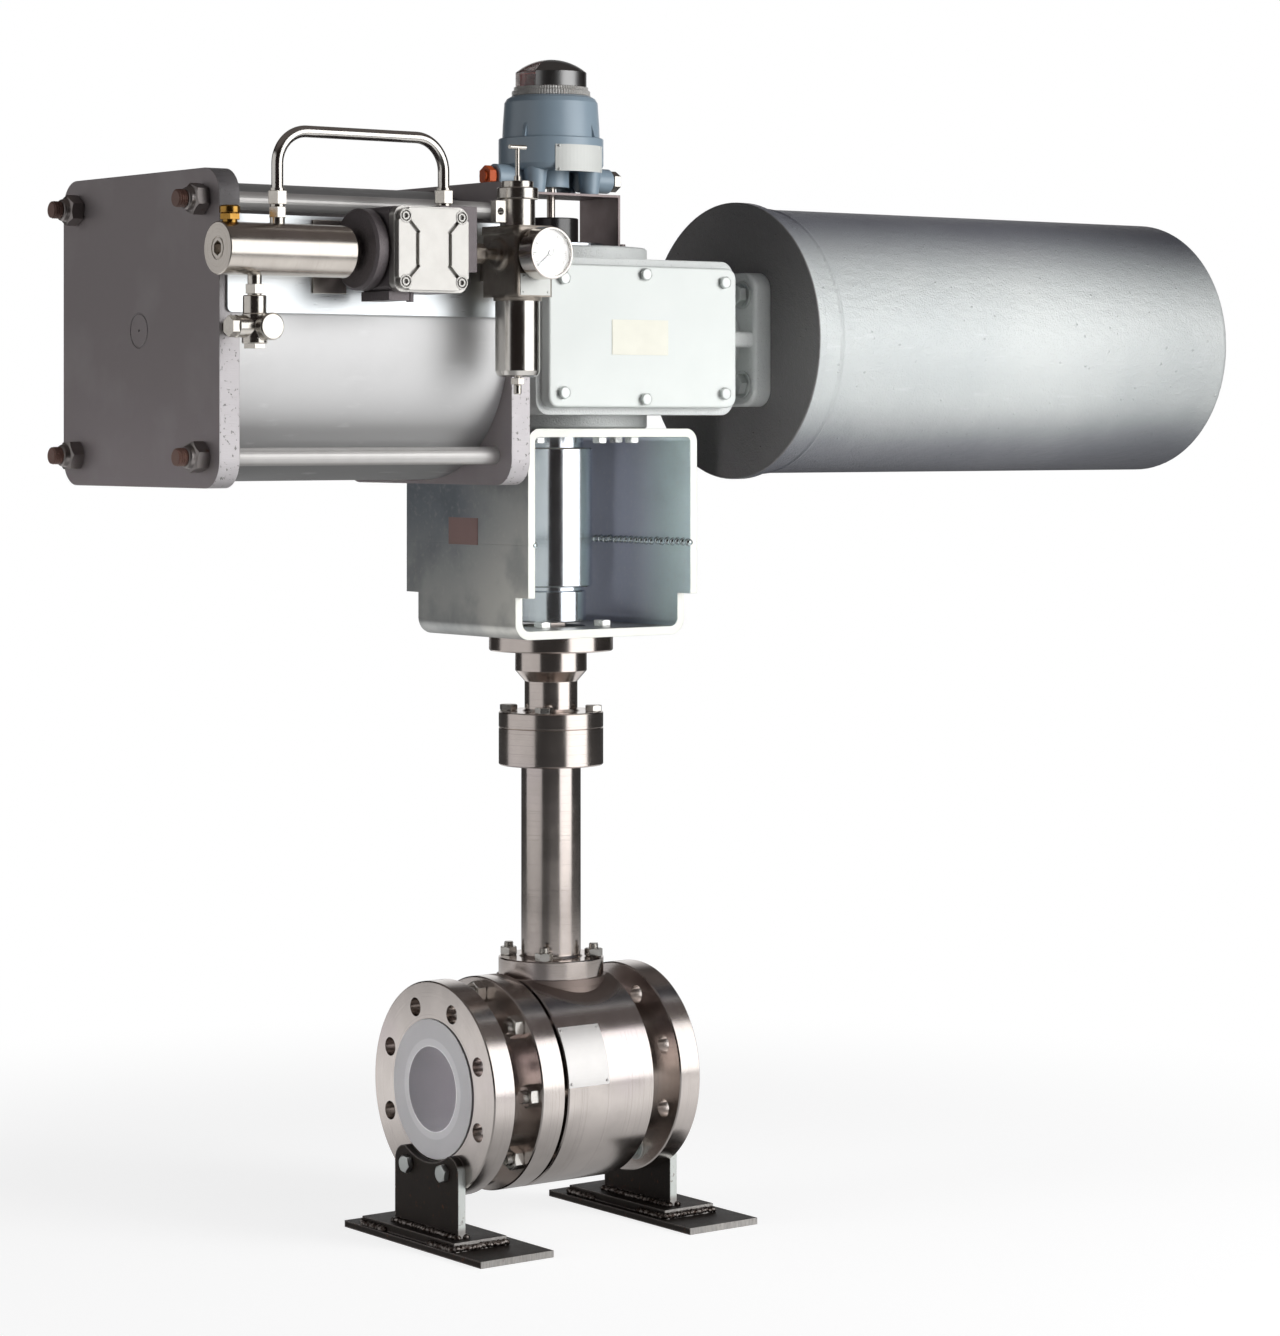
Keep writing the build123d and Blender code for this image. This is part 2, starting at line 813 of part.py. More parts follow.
def feet():
    inlet_base = -inlet_foot_edge
    outlet_base = outlet_foot_edge - foot_w
    inlet = foot(inlet_base, inlet_base + inlet_pad_inset, inlet_x + raised_face_h - upright_t)
    outlet_pad = outlet_foot_edge - outlet_pad_inset - pad_w
    return group(inlet, foot(outlet_base, outlet_pad, outlet_x - raised_face_h))


def foot_bolts():
    """Two bolts, washers and nuts at each flange, through its lower two holes."""
    grip = upright_t + flange_t
    seat = grip + foot_washer_t
    pieces = [bolt(foot_bolt_d, foot_bolt_af, bolt_head_t, seat + bonnet_nut_t + stud_tip),
              Pos(0, 0, -seat) * ring(foot_bolt_d + 0.2, foot_washer_d, 0, foot_washer_t),
              Pos(0, 0, -seat - bonnet_nut_t) * nut(foot_bolt_d, foot_bolt_af, bonnet_nut_t)]
    half = flange_pcd / 2
    angle = radians(180 / flange_holes)
    y = half * sin(angle)
    z = -half * cos(angle)
    inlet_seat = inlet_x + raised_face_h - upright_t
    outlet_seat = outlet_x - raised_face_h + upright_t
    placed = []
    for side in (-y, y):
        for piece in pieces:
            placed.append(Pos(inlet_seat, side, z) * Rot(0, -90, 0) * piece)
            placed.append(Pos(outlet_seat, side, z) * Rot(0, 90, 0) * piece)
    return group(*placed)


# Bracket and drive

def channel(z0, z1, bend_r):
    """U channel open downwards, with its web's top face at z1."""
    reach = z1 - z0 + bend_r
    outer = slab_y(-bracket_depth / 2, bracket_depth / 2, 0, z1 - reach, bracket_w, 2 * reach, bend_r)
    inner = slab_y(-bracket_depth / 2 - 1, bracket_depth / 2 + 1, 0, z1 - bracket_t - reach,
                   bracket_w - 2 * bracket_t, 2 * reach, bend_r - bracket_t)
    shape = outer - inner
    return shape & box(-bracket_w, bracket_w, -bracket_depth, bracket_depth, z0, z1)


def bracket_upper():
    shape = channel(seam_z, actuator_z, upper_bend_r)
    shape -= puck(bracket_hole_d, actuator_z - bracket_t - 1, actuator_z + 1)
    hole = puck(bracket_bolt_d + 1, actuator_z - bracket_t - 1, actuator_z + 1)
    for cut in around(hole, bracket_bolt_count, bracket_bolt_pcd):
        shape -= cut
    return shape


def bracket_lower():
    shape = Rot(180, 0, 0) * channel(-seam_z, -bracket_z, lower_bend_r)
    step_z = bracket_z + bracket_step
    for side in (-1, 1):
        y0, y1 = sorted((side * bracket_foot_depth / 2, side * bracket_depth))
        shape -= box(-bracket_w, bracket_w, y0, y1, bracket_z - 1, step_z)
    shape -= puck(coupling_foot_d, bracket_z - 1, bracket_z + bracket_t + 1)
    hole = puck(mount_bolt_d + 1, bracket_z - 1, bracket_z + bracket_t + 1)
    for cut in around(hole, 4, mount_pcd, 45):
        shape -= cut
    inner_x = bracket_w / 2 - bracket_t
    for side in (-1, 1):
        bead = along_y(puck(2 * seam_r, -bracket_depth / 2, bracket_depth / 2), side * inner_x, 0, seam_z)
        shape += bead & box(-inner_x, inner_x, -bracket_depth, bracket_depth, bracket_z, actuator_z)
    return shape


def bracket_bolts():
    lower = bolt(mount_bolt_d, mount_bolt_af, bolt_head_t, bracket_t + mount_flange_t - 2)
    lower = Pos(0, 0, bracket_z + bracket_t) * lower
    upper = bolt(bracket_bolt_d, bracket_bolt_af, bolt_head_t, bracket_t + bracket_bolt_depth - 1)
    upper = Pos(0, 0, actuator_z - bracket_t) * Rot(180, 0, 0) * upper
    return group(*around(lower, 4, mount_pcd, 45),
                 *around(upper, bracket_bolt_count, bracket_bolt_pcd))


def drive_coupling():
    foot_z = bracket_z + bracket_t + coupling_gap
    groove_z = foot_z + coupling_foot_h
    body_z = groove_z + coupling_groove_h
    neck_z = actuator_z - bracket_t - coupling_top_gap
    shape = puck(coupling_foot_d, foot_z, groove_z, edge_chamfer)
    shape += puck(coupling_foot_d - 6, groove_z - 3, body_z + 3)
    shape += puck(coupling_d, body_z, neck_z, edge_chamfer)
    shape += puck(coupling_neck_d, neck_z - 1, actuator_z - 1)
    drive = puck(drive_d, actuator_z - 2, actuator_z + drive_l, edge_chamfer)
    flats = box(-drive_d, drive_d, -drive_flats / 2, drive_flats / 2,
                actuator_z - 2, actuator_z + drive_l + 1)
    shape += drive & flats
    socket = puck(stem_d + 2 * running_gap, foot_z - 1, stem_top + 1)
    socket &= box(-stem_d, stem_d, -stem_flats / 2 - running_gap, stem_flats / 2 + running_gap,
                  foot_z - 1, stem_top + 1)
    return shape - socket


# Actuator cylinder, with its axis along X

def tie_rod_places():
    half = rod_pitch / 2
    return [(axis_y + y * half, axis_z + z * half) for y in (-1, 1) for z in (-1, 1)]


def cylinder_head(x0):
    return slab_x(x0, x0 + head_t, axis_y, axis_z, head_side, head_side, head_corner)


def tube_seat(x0, x1):
    """Groove in a head that takes the end of the cylinder tube."""
    return along_x(ring(tube_d - 2 * tube_wall - 0.4, tube_d + 0.4, x0, x1), 0, axis_y, axis_z)


def outer_head():
    shape = cylinder_head(outer_back_x)
    shape -= tube_seat(outer_face_x - tube_groove, outer_face_x + 1)
    for y, z in tie_rod_places():
        shape -= along_x(puck(tie_rod_d + 1, outer_back_x - 1, outer_face_x + 1), 0, y, z)
    mark = ring(centre_mark_d - 3, centre_mark_d, outer_back_x - 1, outer_back_x + 0.8)
    shape -= along_x(mark, 0, axis_y, axis_z)
    shape -= along_x(puck(3, outer_back_x - 1, outer_back_x + 2), 0, axis_y, axis_z)
    port_x = outer_back_x + head_t / 2
    port = puck(exhaust_stub_d + 0.4, plate_y - 1, plate_y + exhaust_stub_depth)
    shape -= along_y(port, port_x, 0, axis_z)
    return shape


def inner_head():
    shape = cylinder_head(inner_back_x)
    shape -= tube_seat(inner_back_x - 1, inner_back_x + tube_groove)
    shape -= along_x(puck(piston_rod_d + 2, inner_back_x - 1, inner_face_x + 1), 0, axis_y, axis_z)
    for y, z in tie_rod_places():
        shape -= along_x(puck(tie_rod_d + 0.2, inner_back_x - 1, inner_back_x + rod_seat_depth), 0, y, z)
    for y, z in port_bolt_places():
        shape -= along_x(puck(port_bolt_d + 0.2, inner_back_x + 4, inner_face_x + 1), 0, y, z)
    return shape


def cylinder_tube():
    tube = ring(tube_d - 2 * tube_wall, tube_d, outer_face_x - tube_groove, inner_back_x + tube_groove)
    return along_x(tube, 0, axis_y, axis_z)


def tie_rods():
    """Tie rods with a lock nut at each outer end."""
    nut_x = outer_back_x - tie_nut_t
    tip_x = nut_x - lock_collar_t - tie_rod_tip
    rod = puck(tie_rod_d, tip_x, inner_back_x + rod_seat_depth - 1, edge_chamfer)
    lock = nut(tie_rod_d, tie_nut_af, tie_nut_t)
    lock += ring(tie_rod_d + 0.2, tie_nut_af - 5, -lock_collar_t, 0)
    placed = []
    for y, z in tie_rod_places():
        placed.append(along_x(rod, 0, y, z))
        placed.append(along_x(lock, nut_x, y, z))
    return group(*placed)


def piston_x():
    """Left face of the piston at rest, against its stop."""
    return outer_face_x + piston_clear


def piston():
    x0, x1 = piston_x(), piston_x() + piston_t
    inside_d = tube_d - 2 * tube_wall
    shape = puck(inside_d - 2 * piston_gap, x0, x1, edge_chamfer)
    middle = (x0 + x1) / 2
    groove_d = inside_d - 2 * piston_seal_depth
    shape -= ring(groove_d, inside_d + 2, middle - piston_seal_w / 2, middle + piston_seal_w / 2)
    shape -= puck(piston_rod_d + 2 * running_gap, x0 - 1, x1 + 1)
    return along_x(shape, 0, axis_y, axis_z)


def piston_seal():
    middle = piston_x() + piston_t / 2
    half = piston_seal_w / 2 - running_gap
    inside_d = tube_d - 2 * tube_wall
    seal = ring(inside_d - 2 * piston_seal_depth + 2 * running_gap, inside_d - 2 * running_gap,
                middle - half, middle + half)
    return along_x(seal, 0, axis_y, axis_z)


def piston_rod():
    """One rod through the cylinder, the guide block and the spring plate, with end nuts."""
    rod_end = spring_plate_x + spring_plate_t
    shape = puck(piston_rod_d, piston_x(), rod_end)
    shape += puck(piston_nut_d, piston_x() - piston_nut_t, piston_x())
    shape += puck(piston_nut_d, rod_end, rod_end + piston_nut_t)
    return along_x(shape, 0, axis_y, axis_z)


# Yoke housing and scotch yoke

def port_bolt_places():
    half = port_bolt_pitch / 2
    return [(axis_y + y * half, axis_z + z * half) for y in (-1, 1) for z in (-1, 1)]


def cover_screw_places():
    low_corner, low_middle = axis_z - cover_screw_corner_z, axis_z - cover_screw_middle_z
    high_corner, high_middle = axis_z + cover_screw_corner_z, axis_z + cover_screw_middle_z
    return [(-cover_screw_x, low_corner), (0, low_middle), (cover_screw_x, low_corner),
            (-cover_screw_x, high_corner), (0, high_middle), (cover_screw_x, high_corner)]


def yoke_housing():
    half_w = housing_w / 2
    shape = slab_y(-cover_back_y, 0, 0, axis_z, housing_w, housing_h, housing_corner)
    shape += puck(hub_d, actuator_z, hub_top_z, 2)
    reach_y = port_flange_y / 2 - rib_inset / 2
    for side in (-1, 1):
        reach = [side * half_w - side * housing_wall / 2, side * inner_head_face]
        x0, x1 = sorted(reach)
        shape += along_x(puck(port_neck_d, x0, x1), 0, axis_y, axis_z)
        rib = box(x0, x1, axis_y - reach_y, axis_y + reach_y,
                  axis_z - port_rib_t / 2, axis_z + port_rib_t / 2)
        shape += fillet(rib.edges().filter_by(Axis.X), casting_round)
        fx0, fx1 = sorted((side * inner_head_face, side * (inner_head_face - port_flange_t)))
        end_flange = slab_x(fx0, fx1, axis_y, axis_z, port_flange_y, port_flange_h, port_flange_corner)
        inner_face = end_flange.faces().sort_by(Axis.X)[0 if side > 0 else -1]
        shape += fillet(inner_face.edges(), casting_round)
        for y, z in port_bolt_places():
            shape -= along_x(puck(port_bolt_d + 1, fx0 - 1, fx1 + 1), 0, y, z)
    for angle in (0, 180):
        root = hub_d / 2 - rib_inset
        top = axis_z - housing_h / 2 + rib_inset
        web = Polyline((root, 0, top), (half_w - rib_inset, 0, top), (root, 0, actuator_z), close=True)
        shape += Rot(0, 0, angle) * extrude(make_face(web), rib_t / 2, both=True)
    inner_low = axis_z - housing_h / 2 + housing_wall
    inner_high = axis_z + housing_h / 2 - housing_wall
    cavity = slab_y(-cover_back_y - 1, 0, 0, axis_z, housing_w - 2 * housing_wall,
                    housing_h - 2 * housing_wall, housing_corner / 2)
    cavity += puck(hub_d - 2 * housing_wall, inner_low, inner_high)
    shape -= cavity
    bore = yoke_hub_d + 2 * bush_wall + 2 * running_gap
    shape -= puck(bore, actuator_z - 1, hub_top_z + 1)
    rod_bore = piston_rod_d + 2 * bush_wall + 2 * running_gap
    shape -= along_x(puck(rod_bore, -inner_head_face - 1, inner_head_face + 1), 0, axis_y, axis_z)
    for x, z in cover_screw_places():
        shape -= along_y(puck(cover_screw_d + 0.2, -cover_back_y - 1, -cover_back_y + 12), x, 0, z)
    tapped = puck(bracket_bolt_d + 0.2, actuator_z - 1, actuator_z + bracket_bolt_depth)
    for cut in around(tapped, bracket_bolt_count, bracket_bolt_pcd):
        shape -= cut
    return shape


def housing_cover():
    shape = slab_y(-cover_face, -cover_back_y, 0, axis_z, cover_w, cover_h, cover_corner)
    front = shape.faces().sort_by(Axis.Y)[0]
    shape = fillet(front.edges(), 3)
    for x, z in cover_screw_places():
        shape -= along_y(puck(cover_screw_d + 1, -cover_face - 1, -cover_back_y + 1), x, 0, z)
    return shape


def cover_screws():
    screw = bolt(cover_screw_d, cover_screw_af, cover_screw_head, cover_t + 10)
    return group(*[along_y(Rot(180, 0, 0) * screw, x, -cover_face, z) for x, z in cover_screw_places()])


def flange_bolts():
    """Bolts that hold the cylinder and the spring can to the housing's end flanges."""
    seat = inner_head_face - port_flange_t
    piece = bolt(port_bolt_d, port_bolt_af, port_bolt_head, port_flange_t + port_washer_t + can_disc_t - 3)
    piece = Pos(0, 0, port_washer_t) * piece
    washer = ring(port_bolt_d + 0.2, port_washer_d, 0, port_washer_t)
    placed = []
    for y, z in port_bolt_places():
        for side in (-1, 1):
            turn = Pos(side * seat, y, z) * Rot(0, -90 * side, 0)
            placed.append(turn * piece)
            placed.append(turn * washer)
    return group(*placed)


def hub_cap():
    low = hub_top_z
    shape = puck(hub_cap_d, low, cap_top_z, 1)
    return shape - puck(indicator_hub_d / 2 + 4, low - 1, cap_top_z + 1)


def yoke_height(sign):
    """Lower and upper face of one yoke plate."""
    near = axis_z + sign * yoke_plate_gap / 2
    return sorted((near, near + sign * yoke_plate_t))


def scotch_yoke():
    """Hub with two slotted arms; at rest the arms point at the pin, 45 degrees before centre."""
    low = actuator_z + 2
    high = hub_top_z - 1
    shape = puck(yoke_hub_d, low, high)
    slot_start = axis_offset
    slot_end = axis_offset * sqrt(2)
    arm_r = yoke_slot_w / 2 + yoke_slot_wall
    for sign in (-1, 1):
        z0, z1 = yoke_height(sign)
        arm = Pos(slot_end, 0, 0) * puck(2 * arm_r, z0, z1)
        arm += box(0, slot_end, -arm_r, arm_r, z0, z1)
        slot = Pos(slot_start, 0, 0) * puck(yoke_slot_w, z0 - 1, z1 + 1)
        slot += Pos(slot_end, 0, 0) * puck(yoke_slot_w, z0 - 1, z1 + 1)
        slot += box(slot_start, slot_end, -yoke_slot_w / 2, yoke_slot_w / 2, z0 - 1, z1 + 1)
        shape += Rot(0, 0, 225) * (arm - slot)
    socket = puck(drive_d + 2 * running_gap, low - 1, actuator_z + drive_l + 1)
    socket &= box(-drive_d, drive_d, -drive_flats / 2 - running_gap, drive_flats / 2 + running_gap,
                  low - 1, actuator_z + drive_l + 1)
    shape -= socket
    spindle = puck(indicator_hub_d / 2, high - 1, cap_top_z + 2)
    return shape + spindle


def guide_block():
    x = -axis_offset
    shape = box(x - block_w / 2, x + block_w / 2, axis_y - block_y / 2, axis_y + block_y / 2,
                axis_z - block_h / 2, axis_z + block_h / 2)
    shape -= along_x(puck(piston_rod_d + 2 * running_gap, x - block_w, x + block_w), 0, axis_y, axis_z)
    hole = puck(yoke_pin_d + 2 * running_gap, axis_z - block_h, axis_z + block_h)
    return shape - Pos(x, axis_y, 0) * hole


def yoke_pin():
    """Upper and lower halves of the pin, screwed into the block above and below the rod."""
    reach = yoke_plate_gap / 2 + yoke_plate_t
    start = piston_rod_d / 2 + running_gap
    half = puck(yoke_pin_d, start, reach, 1)
    place = Pos(-axis_offset, axis_y, axis_z)
    return group(place * half, place * Rot(180, 0, 0) * half)


def bronze_bushes():
    """Two hub bushes and two rod bushes."""
    hub = ring(yoke_hub_d + 2 * running_gap, yoke_hub_d + 2 * bush_wall, 0, housing_wall)
    lower = Pos(0, 0, actuator_z + 2) * hub
    upper = Pos(0, 0, housing_top_z - housing_wall) * hub
    rod = ring(piston_rod_d + 2 * running_gap, piston_rod_d + 2 * bush_wall, 0, housing_wall)
    left = along_x(rod, -housing_w / 2, axis_y, axis_z)
    right = along_x(rod, housing_w / 2 - housing_wall, axis_y, axis_z)
    return group(lower, upper, left, right)


# Spring can

def spring_can():
    """Rolled can with a rounded end, closed by a disc that is welded round its edge."""
    r, r_in = can_d / 2, can_d / 2 - can_wall
    end_x = can_x + can_l
    disc_x = can_x + can_disc_t
    bead_x = disc_x + can_bead_x
    shape = lathe((0, can_x), (can_disc_d / 2 - 1, can_x), (can_disc_d / 2, can_x + 1),
                  (can_disc_d / 2, disc_x - 1), (can_disc_d / 2 - 1, disc_x), (r + 3, disc_x),
                  (r, disc_x + 4), (r, bead_x), (r + can_bead_h, bead_x + can_bead_w / 2),
                  (r, bead_x + can_bead_w), (r, end_x), (0, end_x))
    shape = fillet(shape.faces().sort_by(Axis.Z)[-1].edges(), can_corner)
    shape -= lathe((0, disc_x), (r_in, disc_x), (r_in, end_x - can_end_t), (0, end_x - can_end_t))
    shape -= puck(piston_rod_d + 4, can_x - 1, disc_x + 1)
    shape = along_x(shape, 0, axis_y, axis_z)
    for y, z in port_bolt_places():
        shape -= along_x(puck(port_bolt_d + 0.2, can_x - 1, disc_x - 1), 0, y, z)
    return shape


def spring_plate():
    shape = puck(spring_plate_d, spring_plate_x, spring_plate_x + spring_plate_t, edge_chamfer)
    shape -= puck(piston_rod_d + 2 * running_gap, spring_plate_x - 1, spring_plate_x + spring_plate_t + 1)
    return along_x(shape, 0, axis_y, axis_z)


def return_spring():
    """Compression spring from the spring plate to the far end of the can."""
    start = spring_plate_x + spring_plate_t + spring_wire / 2 + 0.3
    end = can_x + can_l - can_end_t - spring_wire / 2 - 0.3
    length = end - start
    path = Helix(pitch=length / spring_turns, height=length, radius=spring_d / 2)
    section = Plane(path @ 0, z_dir=path % 0) * RegularPolygon(spring_wire / 2, wire_sides)
    wire = sweep(section, path=path, is_frenet=True)
    return along_x(wire, start, axis_y, axis_z)


# Air controls

def pad_back():
    """Front face of the control plate, where the controls' feet stand."""
    return plate_y - plate_t


def control_plate():
    return slab_y(pad_back(), plate_y, -(plate_left + plate_right) / 2, (plate_low + plate_high) / 2,
                  plate_left - plate_right, plate_high - plate_low, plate_corner)


def spool_valve():
    """Round valve body along X with a socket plug, a neck, a foot and a mounting pad."""
    r, neck_r = manifold_d / 2, valve_neck_d / 2
    neck_end = -valve_disc_x - valve_disc_t
    shape = lathe((0, -manifold_left), (r - manifold_rim, -manifold_left),
                  (r, -manifold_left + manifold_rim), (r, -manifold_right - manifold_shoulder_l),
                  (r - manifold_shoulder_h, -manifold_right), (neck_r, -manifold_right),
                  (neck_r, neck_end), (0, neck_end))
    shape -= hex_prism(manifold_socket_af, -manifold_left - 1, -manifold_left + manifold_socket_depth)
    mark_d = manifold_socket_af + 2 * manifold_mark_gap
    shape -= ring(mark_d, mark_d + 2 * manifold_mark_w, -manifold_left - 1, -manifold_left + mark_depth)
    shape = along_x(shape, 0, -control_y, manifold_z)
    shape += box(-manifold_left + manifold_foot_left, -manifold_right - manifold_foot_right,
                 -control_y, pad_back(), manifold_z - manifold_foot_h / 2, manifold_z + manifold_foot_h / 2)
    shape += box(-manifold_right - manifold_pad_left, -manifold_right + manifold_pad_right,
                 pad_back() - manifold_pad_t, pad_back(),
                 plate_low + manifold_pad_low, plate_high - manifold_pad_high)
    seat = puck(air_tube_d + 1, manifold_z + tube_seat_z, manifold_z + manifold_d)
    return shape - Pos(-loop_left, -control_y, 0) * seat


def solenoid_housing():
    """Enclosure with a round flange towards the valve and a port block behind."""
    x0 = -valve_disc_x
    x1 = x0 + solenoid_w
    low, high = solenoid_z - solenoid_h / 2, solenoid_z + solenoid_h / 2
    shape = slab_y(-solenoid_front, -solenoid_back, (x0 + x1) / 2, solenoid_z, solenoid_w, solenoid_h,
                   solenoid_corner)
    disc = puck(valve_disc_d, x0 - valve_disc_t, x0 - 0.5, valve_disc_chamfer)
    disc += puck(valve_disc_seat_d, x0 - 1, x0 + 1)
    shape += along_x(disc, 0, -control_y, solenoid_z)
    shape += box(x1 - solenoid_foot_inset, -port_block_x, -solenoid_front + port_block_inset,
                 -solenoid_back + port_block_back, solenoid_z - port_block_h, high + port_block_rise)
    shape += box(x0 + solenoid_foot_inset, -port_block_x - solenoid_foot_reach, -solenoid_back - 1,
                 pad_back(), solenoid_z - solenoid_foot_h / 2, solenoid_z + solenoid_foot_h / 2)
    shape += box(x0, x0 + entry_block_w, -solenoid_front, -solenoid_back, low - entry_block_h, low + 1)
    lug = puck(earth_lug_d, low - earth_lug_l, low + 1)
    shape += Pos(x0 + earth_lug_x, -solenoid_front + solenoid_corner, 0) * lug
    tube_hole = puck(air_tube_d + tube_gap, high - loop_seat - 2, high + port_block_rise + 1)
    return shape - Pos(-loop_right, -control_y, 0) * tube_hole


def solenoid_cover():
    """Cover with a raised plate, four diagonal valleys and a cap screw in each corner."""
    x = -valve_disc_x + solenoid_w / 2
    y0, y1 = -solenoid_front - solenoid_cover_t, -solenoid_front
    w, h = solenoid_w / 2, solenoid_h / 2
    shape = slab_y(y0 + cover_raise, y1, x, solenoid_z, solenoid_w, solenoid_h, cap_boss_inset)
    near, far = cover_inset, cover_cut
    corners = [(far - w, near - h), (w - far, near - h), (w - near, far - h), (w - near, h - far),
               (w - far, h - near), (far - w, h - near), (near - w, h - far), (near - w, far - h)]
    outline = Polyline(*[(x + dx, y0 + cover_raise, solenoid_z + dz) for dx, dz in corners], close=True)
    raised = extrude(make_face(outline), cover_raise, dir=(0, -1, 0))
    reach_x, reach_z = w - cap_boss_inset, h - cap_boss_inset
    for sx in (-1, 1):
        for sz in (-1, 1):
            dx, dz = sx * (reach_x - centre_label_w / 2), sz * (reach_z - centre_label_h / 2)
            valley = Box(sqrt(dx * dx + dz * dz), 2 * valley_depth, valley_w)
            middle_x = x + sx * (reach_x + centre_label_w / 2) / 2
            middle_z = solenoid_z + sz * (reach_z + centre_label_h / 2) / 2
            raised -= Pos(middle_x, y0, middle_z) * Rot(0, -degrees(atan2(dz, dx)), 0) * valley
    for side in (-1, 1):
        edge_x = x + side * (centre_label_w / 2 + valley_w / 2)
        raised -= Pos(edge_x, y0, solenoid_z) * Box(valley_w, 2 * valley_depth, centre_label_h)
    shape += raised
    for sx in (-1, 1):
        for sz in (-1, 1):
            place = (x + sx * reach_x, 0, solenoid_z + sz * reach_z)
            shape += along_y(puck(cap_boss_d, y0 - 0.5, y1), *place)
            groove = ring(cap_groove_d - 2 * cap_groove_w, cap_groove_d, y0 - 1, y0 + cap_socket_depth)
            shape -= along_y(groove, *place)
            shape -= along_y(hex_prism(cap_socket_af, y0 - 1, y0 + cap_socket_depth), *place)
    return shape


def regulator_body():
    x, y = -regulator_x, -control_y
    hw, hd = regulator_w / 2, regulator_depth / 2
    body_z = (regulator_low + regulator_high) / 2
    shape = box(x - hw, x + hw, y - hd, y + hd, regulator_low, regulator_high)
    shape = chamfer(shape.edges().filter_by(Axis.Z), regulator_chamfer)
    out = regulator_rim_out
    rim = box(x - hw - out, x + hw + out, y - hd - out, y + hd + out,
              regulator_high - regulator_rim_h, regulator_high)
    shape += chamfer(rim.edges().filter_by(Axis.Z), regulator_chamfer + out)
    shape += Pos(x, y, 0) * puck(bowl_d + 4, regulator_low - bowl_collar_h, regulator_low)
    port_x = x - hw
    nut_start = -port_block_x + nipple_nut_start
    for nipple in (puck(inlet_boss_d, port_x - inlet_boss_l, port_x + 1, 1),
                   puck(nipple_d, -port_block_x, port_x),
                   hex_prism(nut_af, nut_start, nut_start + nipple_nut_l)):
        shape += along_x(nipple, 0, y, gauge_z)
    shape += box(x - regulator_foot_w / 2, x + regulator_foot_w / 2, y + hd - 1, pad_back(),
                 body_z - regulator_foot_h / 2, body_z + regulator_foot_h / 2)
    shape -= along_x(puck(supply_port_d, x + hw - supply_port_l, x + hw + 1), 0, y, gauge_z)
    return shape


def regulator_bonnet():
    z = regulator_high
    r = regulator_bonnet_d / 2
    ring_z = z + regulator_bonnet_h
    cap_z = ring_z + regulator_ring_h
    top = cap_z + regulator_cap_h
    shape = puck(regulator_bonnet_d, z, ring_z)
    shape += puck(regulator_ring_d, ring_z, cap_z, 1)
    shape += puck(regulator_bonnet_d - 4, cap_z, top)
    shape += box(-r - ear_reach, 0, -ear_w / 2, ear_w / 2, z + ear_low, z + ear_high)
    ear_hole = puck(ear_hole_d, -ear_w, ear_w)
    shape -= along_y(ear_hole, -r - ear_reach / 2, 0, z + (ear_low + ear_high) / 2)
    shape -= puck(screw_d + 2 * running_gap, z + screw_start - 1, top + 1)
    return Pos(-regulator_x, -control_y, 0) * shape


def regulator_screw():
    """Adjusting screw with a T-bar through its top."""
    z = regulator_high
    rod_z = z + screw_start + screw_l
    shape = puck(screw_d, z + screw_start, rod_z)
    shape += puck(screw_rod_d, rod_z - 1, z + screw_h)
    shape += along_x(puck(screw_rod_d, -screw_bar_l / 2, screw_bar_l / 2), 0, 0, z + screw_h)
    return Pos(-regulator_x, -control_y, 0) * shape


def filter_bowl():
    r = bowl_d / 2
    low, high = bowl_low, regulator_low - bowl_collar_h
    shape = lathe((0, low), (r - bowl_corner, low), (r - 2, low + 2), (r, low + bowl_corner),
                  (r, high), (0, high))
    shape -= puck(bowl_d - 2 * bowl_wall, low + bowl_floor, high + 1)
    shape -= puck(drain_stem_d + 2 * running_gap, low - 1, low + bowl_floor + 1)
    return Pos(-regulator_x, -control_y, 0) * shape


def drain_valve():
    nut_z = bowl_low - drain_nut_gap
    knob_z = nut_z - drain_nut_t
    shape = puck(drain_stem_d, knob_z, bowl_low + bowl_floor)
    shape += hex_prism(drain_nut_af, knob_z, nut_z)
    shape += puck(drain_knob_d, knob_z - drain_knob_l, knob_z, 1)
    return Pos(-regulator_x, -control_y, 0) * shape


def gauge_face_y():
    return -control_y - regulator_depth / 2 - gauge_stem - gauge_depth


def gauge_case():
    """Round case with a deep rim in front of the dial and a stem behind."""
    r, stem_r = gauge_d / 2, gauge_stem_d / 2
    back = gauge_depth + gauge_stem
    shape = lathe((0, dial_depth), (r - gauge_rim, dial_depth), (r - gauge_rim, 0), (r - 1, 0), (r, 1),
                  (r, gauge_depth - gauge_rim), (r - gauge_rim, gauge_depth), (stem_r, gauge_depth),
                  (stem_r, back), (0, back))
    shape -= puck(pointer_shaft_d + 2 * running_gap, dial_depth / 2, dial_depth + 4)
    return along_y(shape, -regulator_x, gauge_face_y(), gauge_z)


def gauge_pointer():
    reach = gauge_d / 2 - gauge_rim - pointer_rim_gap
    start = lens_t + 1
    shape = puck(pointer_shaft_d, start, dial_depth + 3)
    shape += puck(pointer_hub_d, start, start + pointer_hub_t)
    shape += box(-reach, pointer_tail, -pointer_w / 2, pointer_w / 2, start + 0.3, start + 0.3 + pointer_t)
    return along_y(Rot(0, 0, pointer_rest) * shape, -regulator_x, gauge_face_y(), gauge_z)


def gauge_lens():
    lens = puck(gauge_d - 2 * gauge_rim - 2 * spigot_gap, 0.4, 0.4 + lens_t)
    return along_y(lens, -regulator_x, gauge_face_y(), gauge_z)


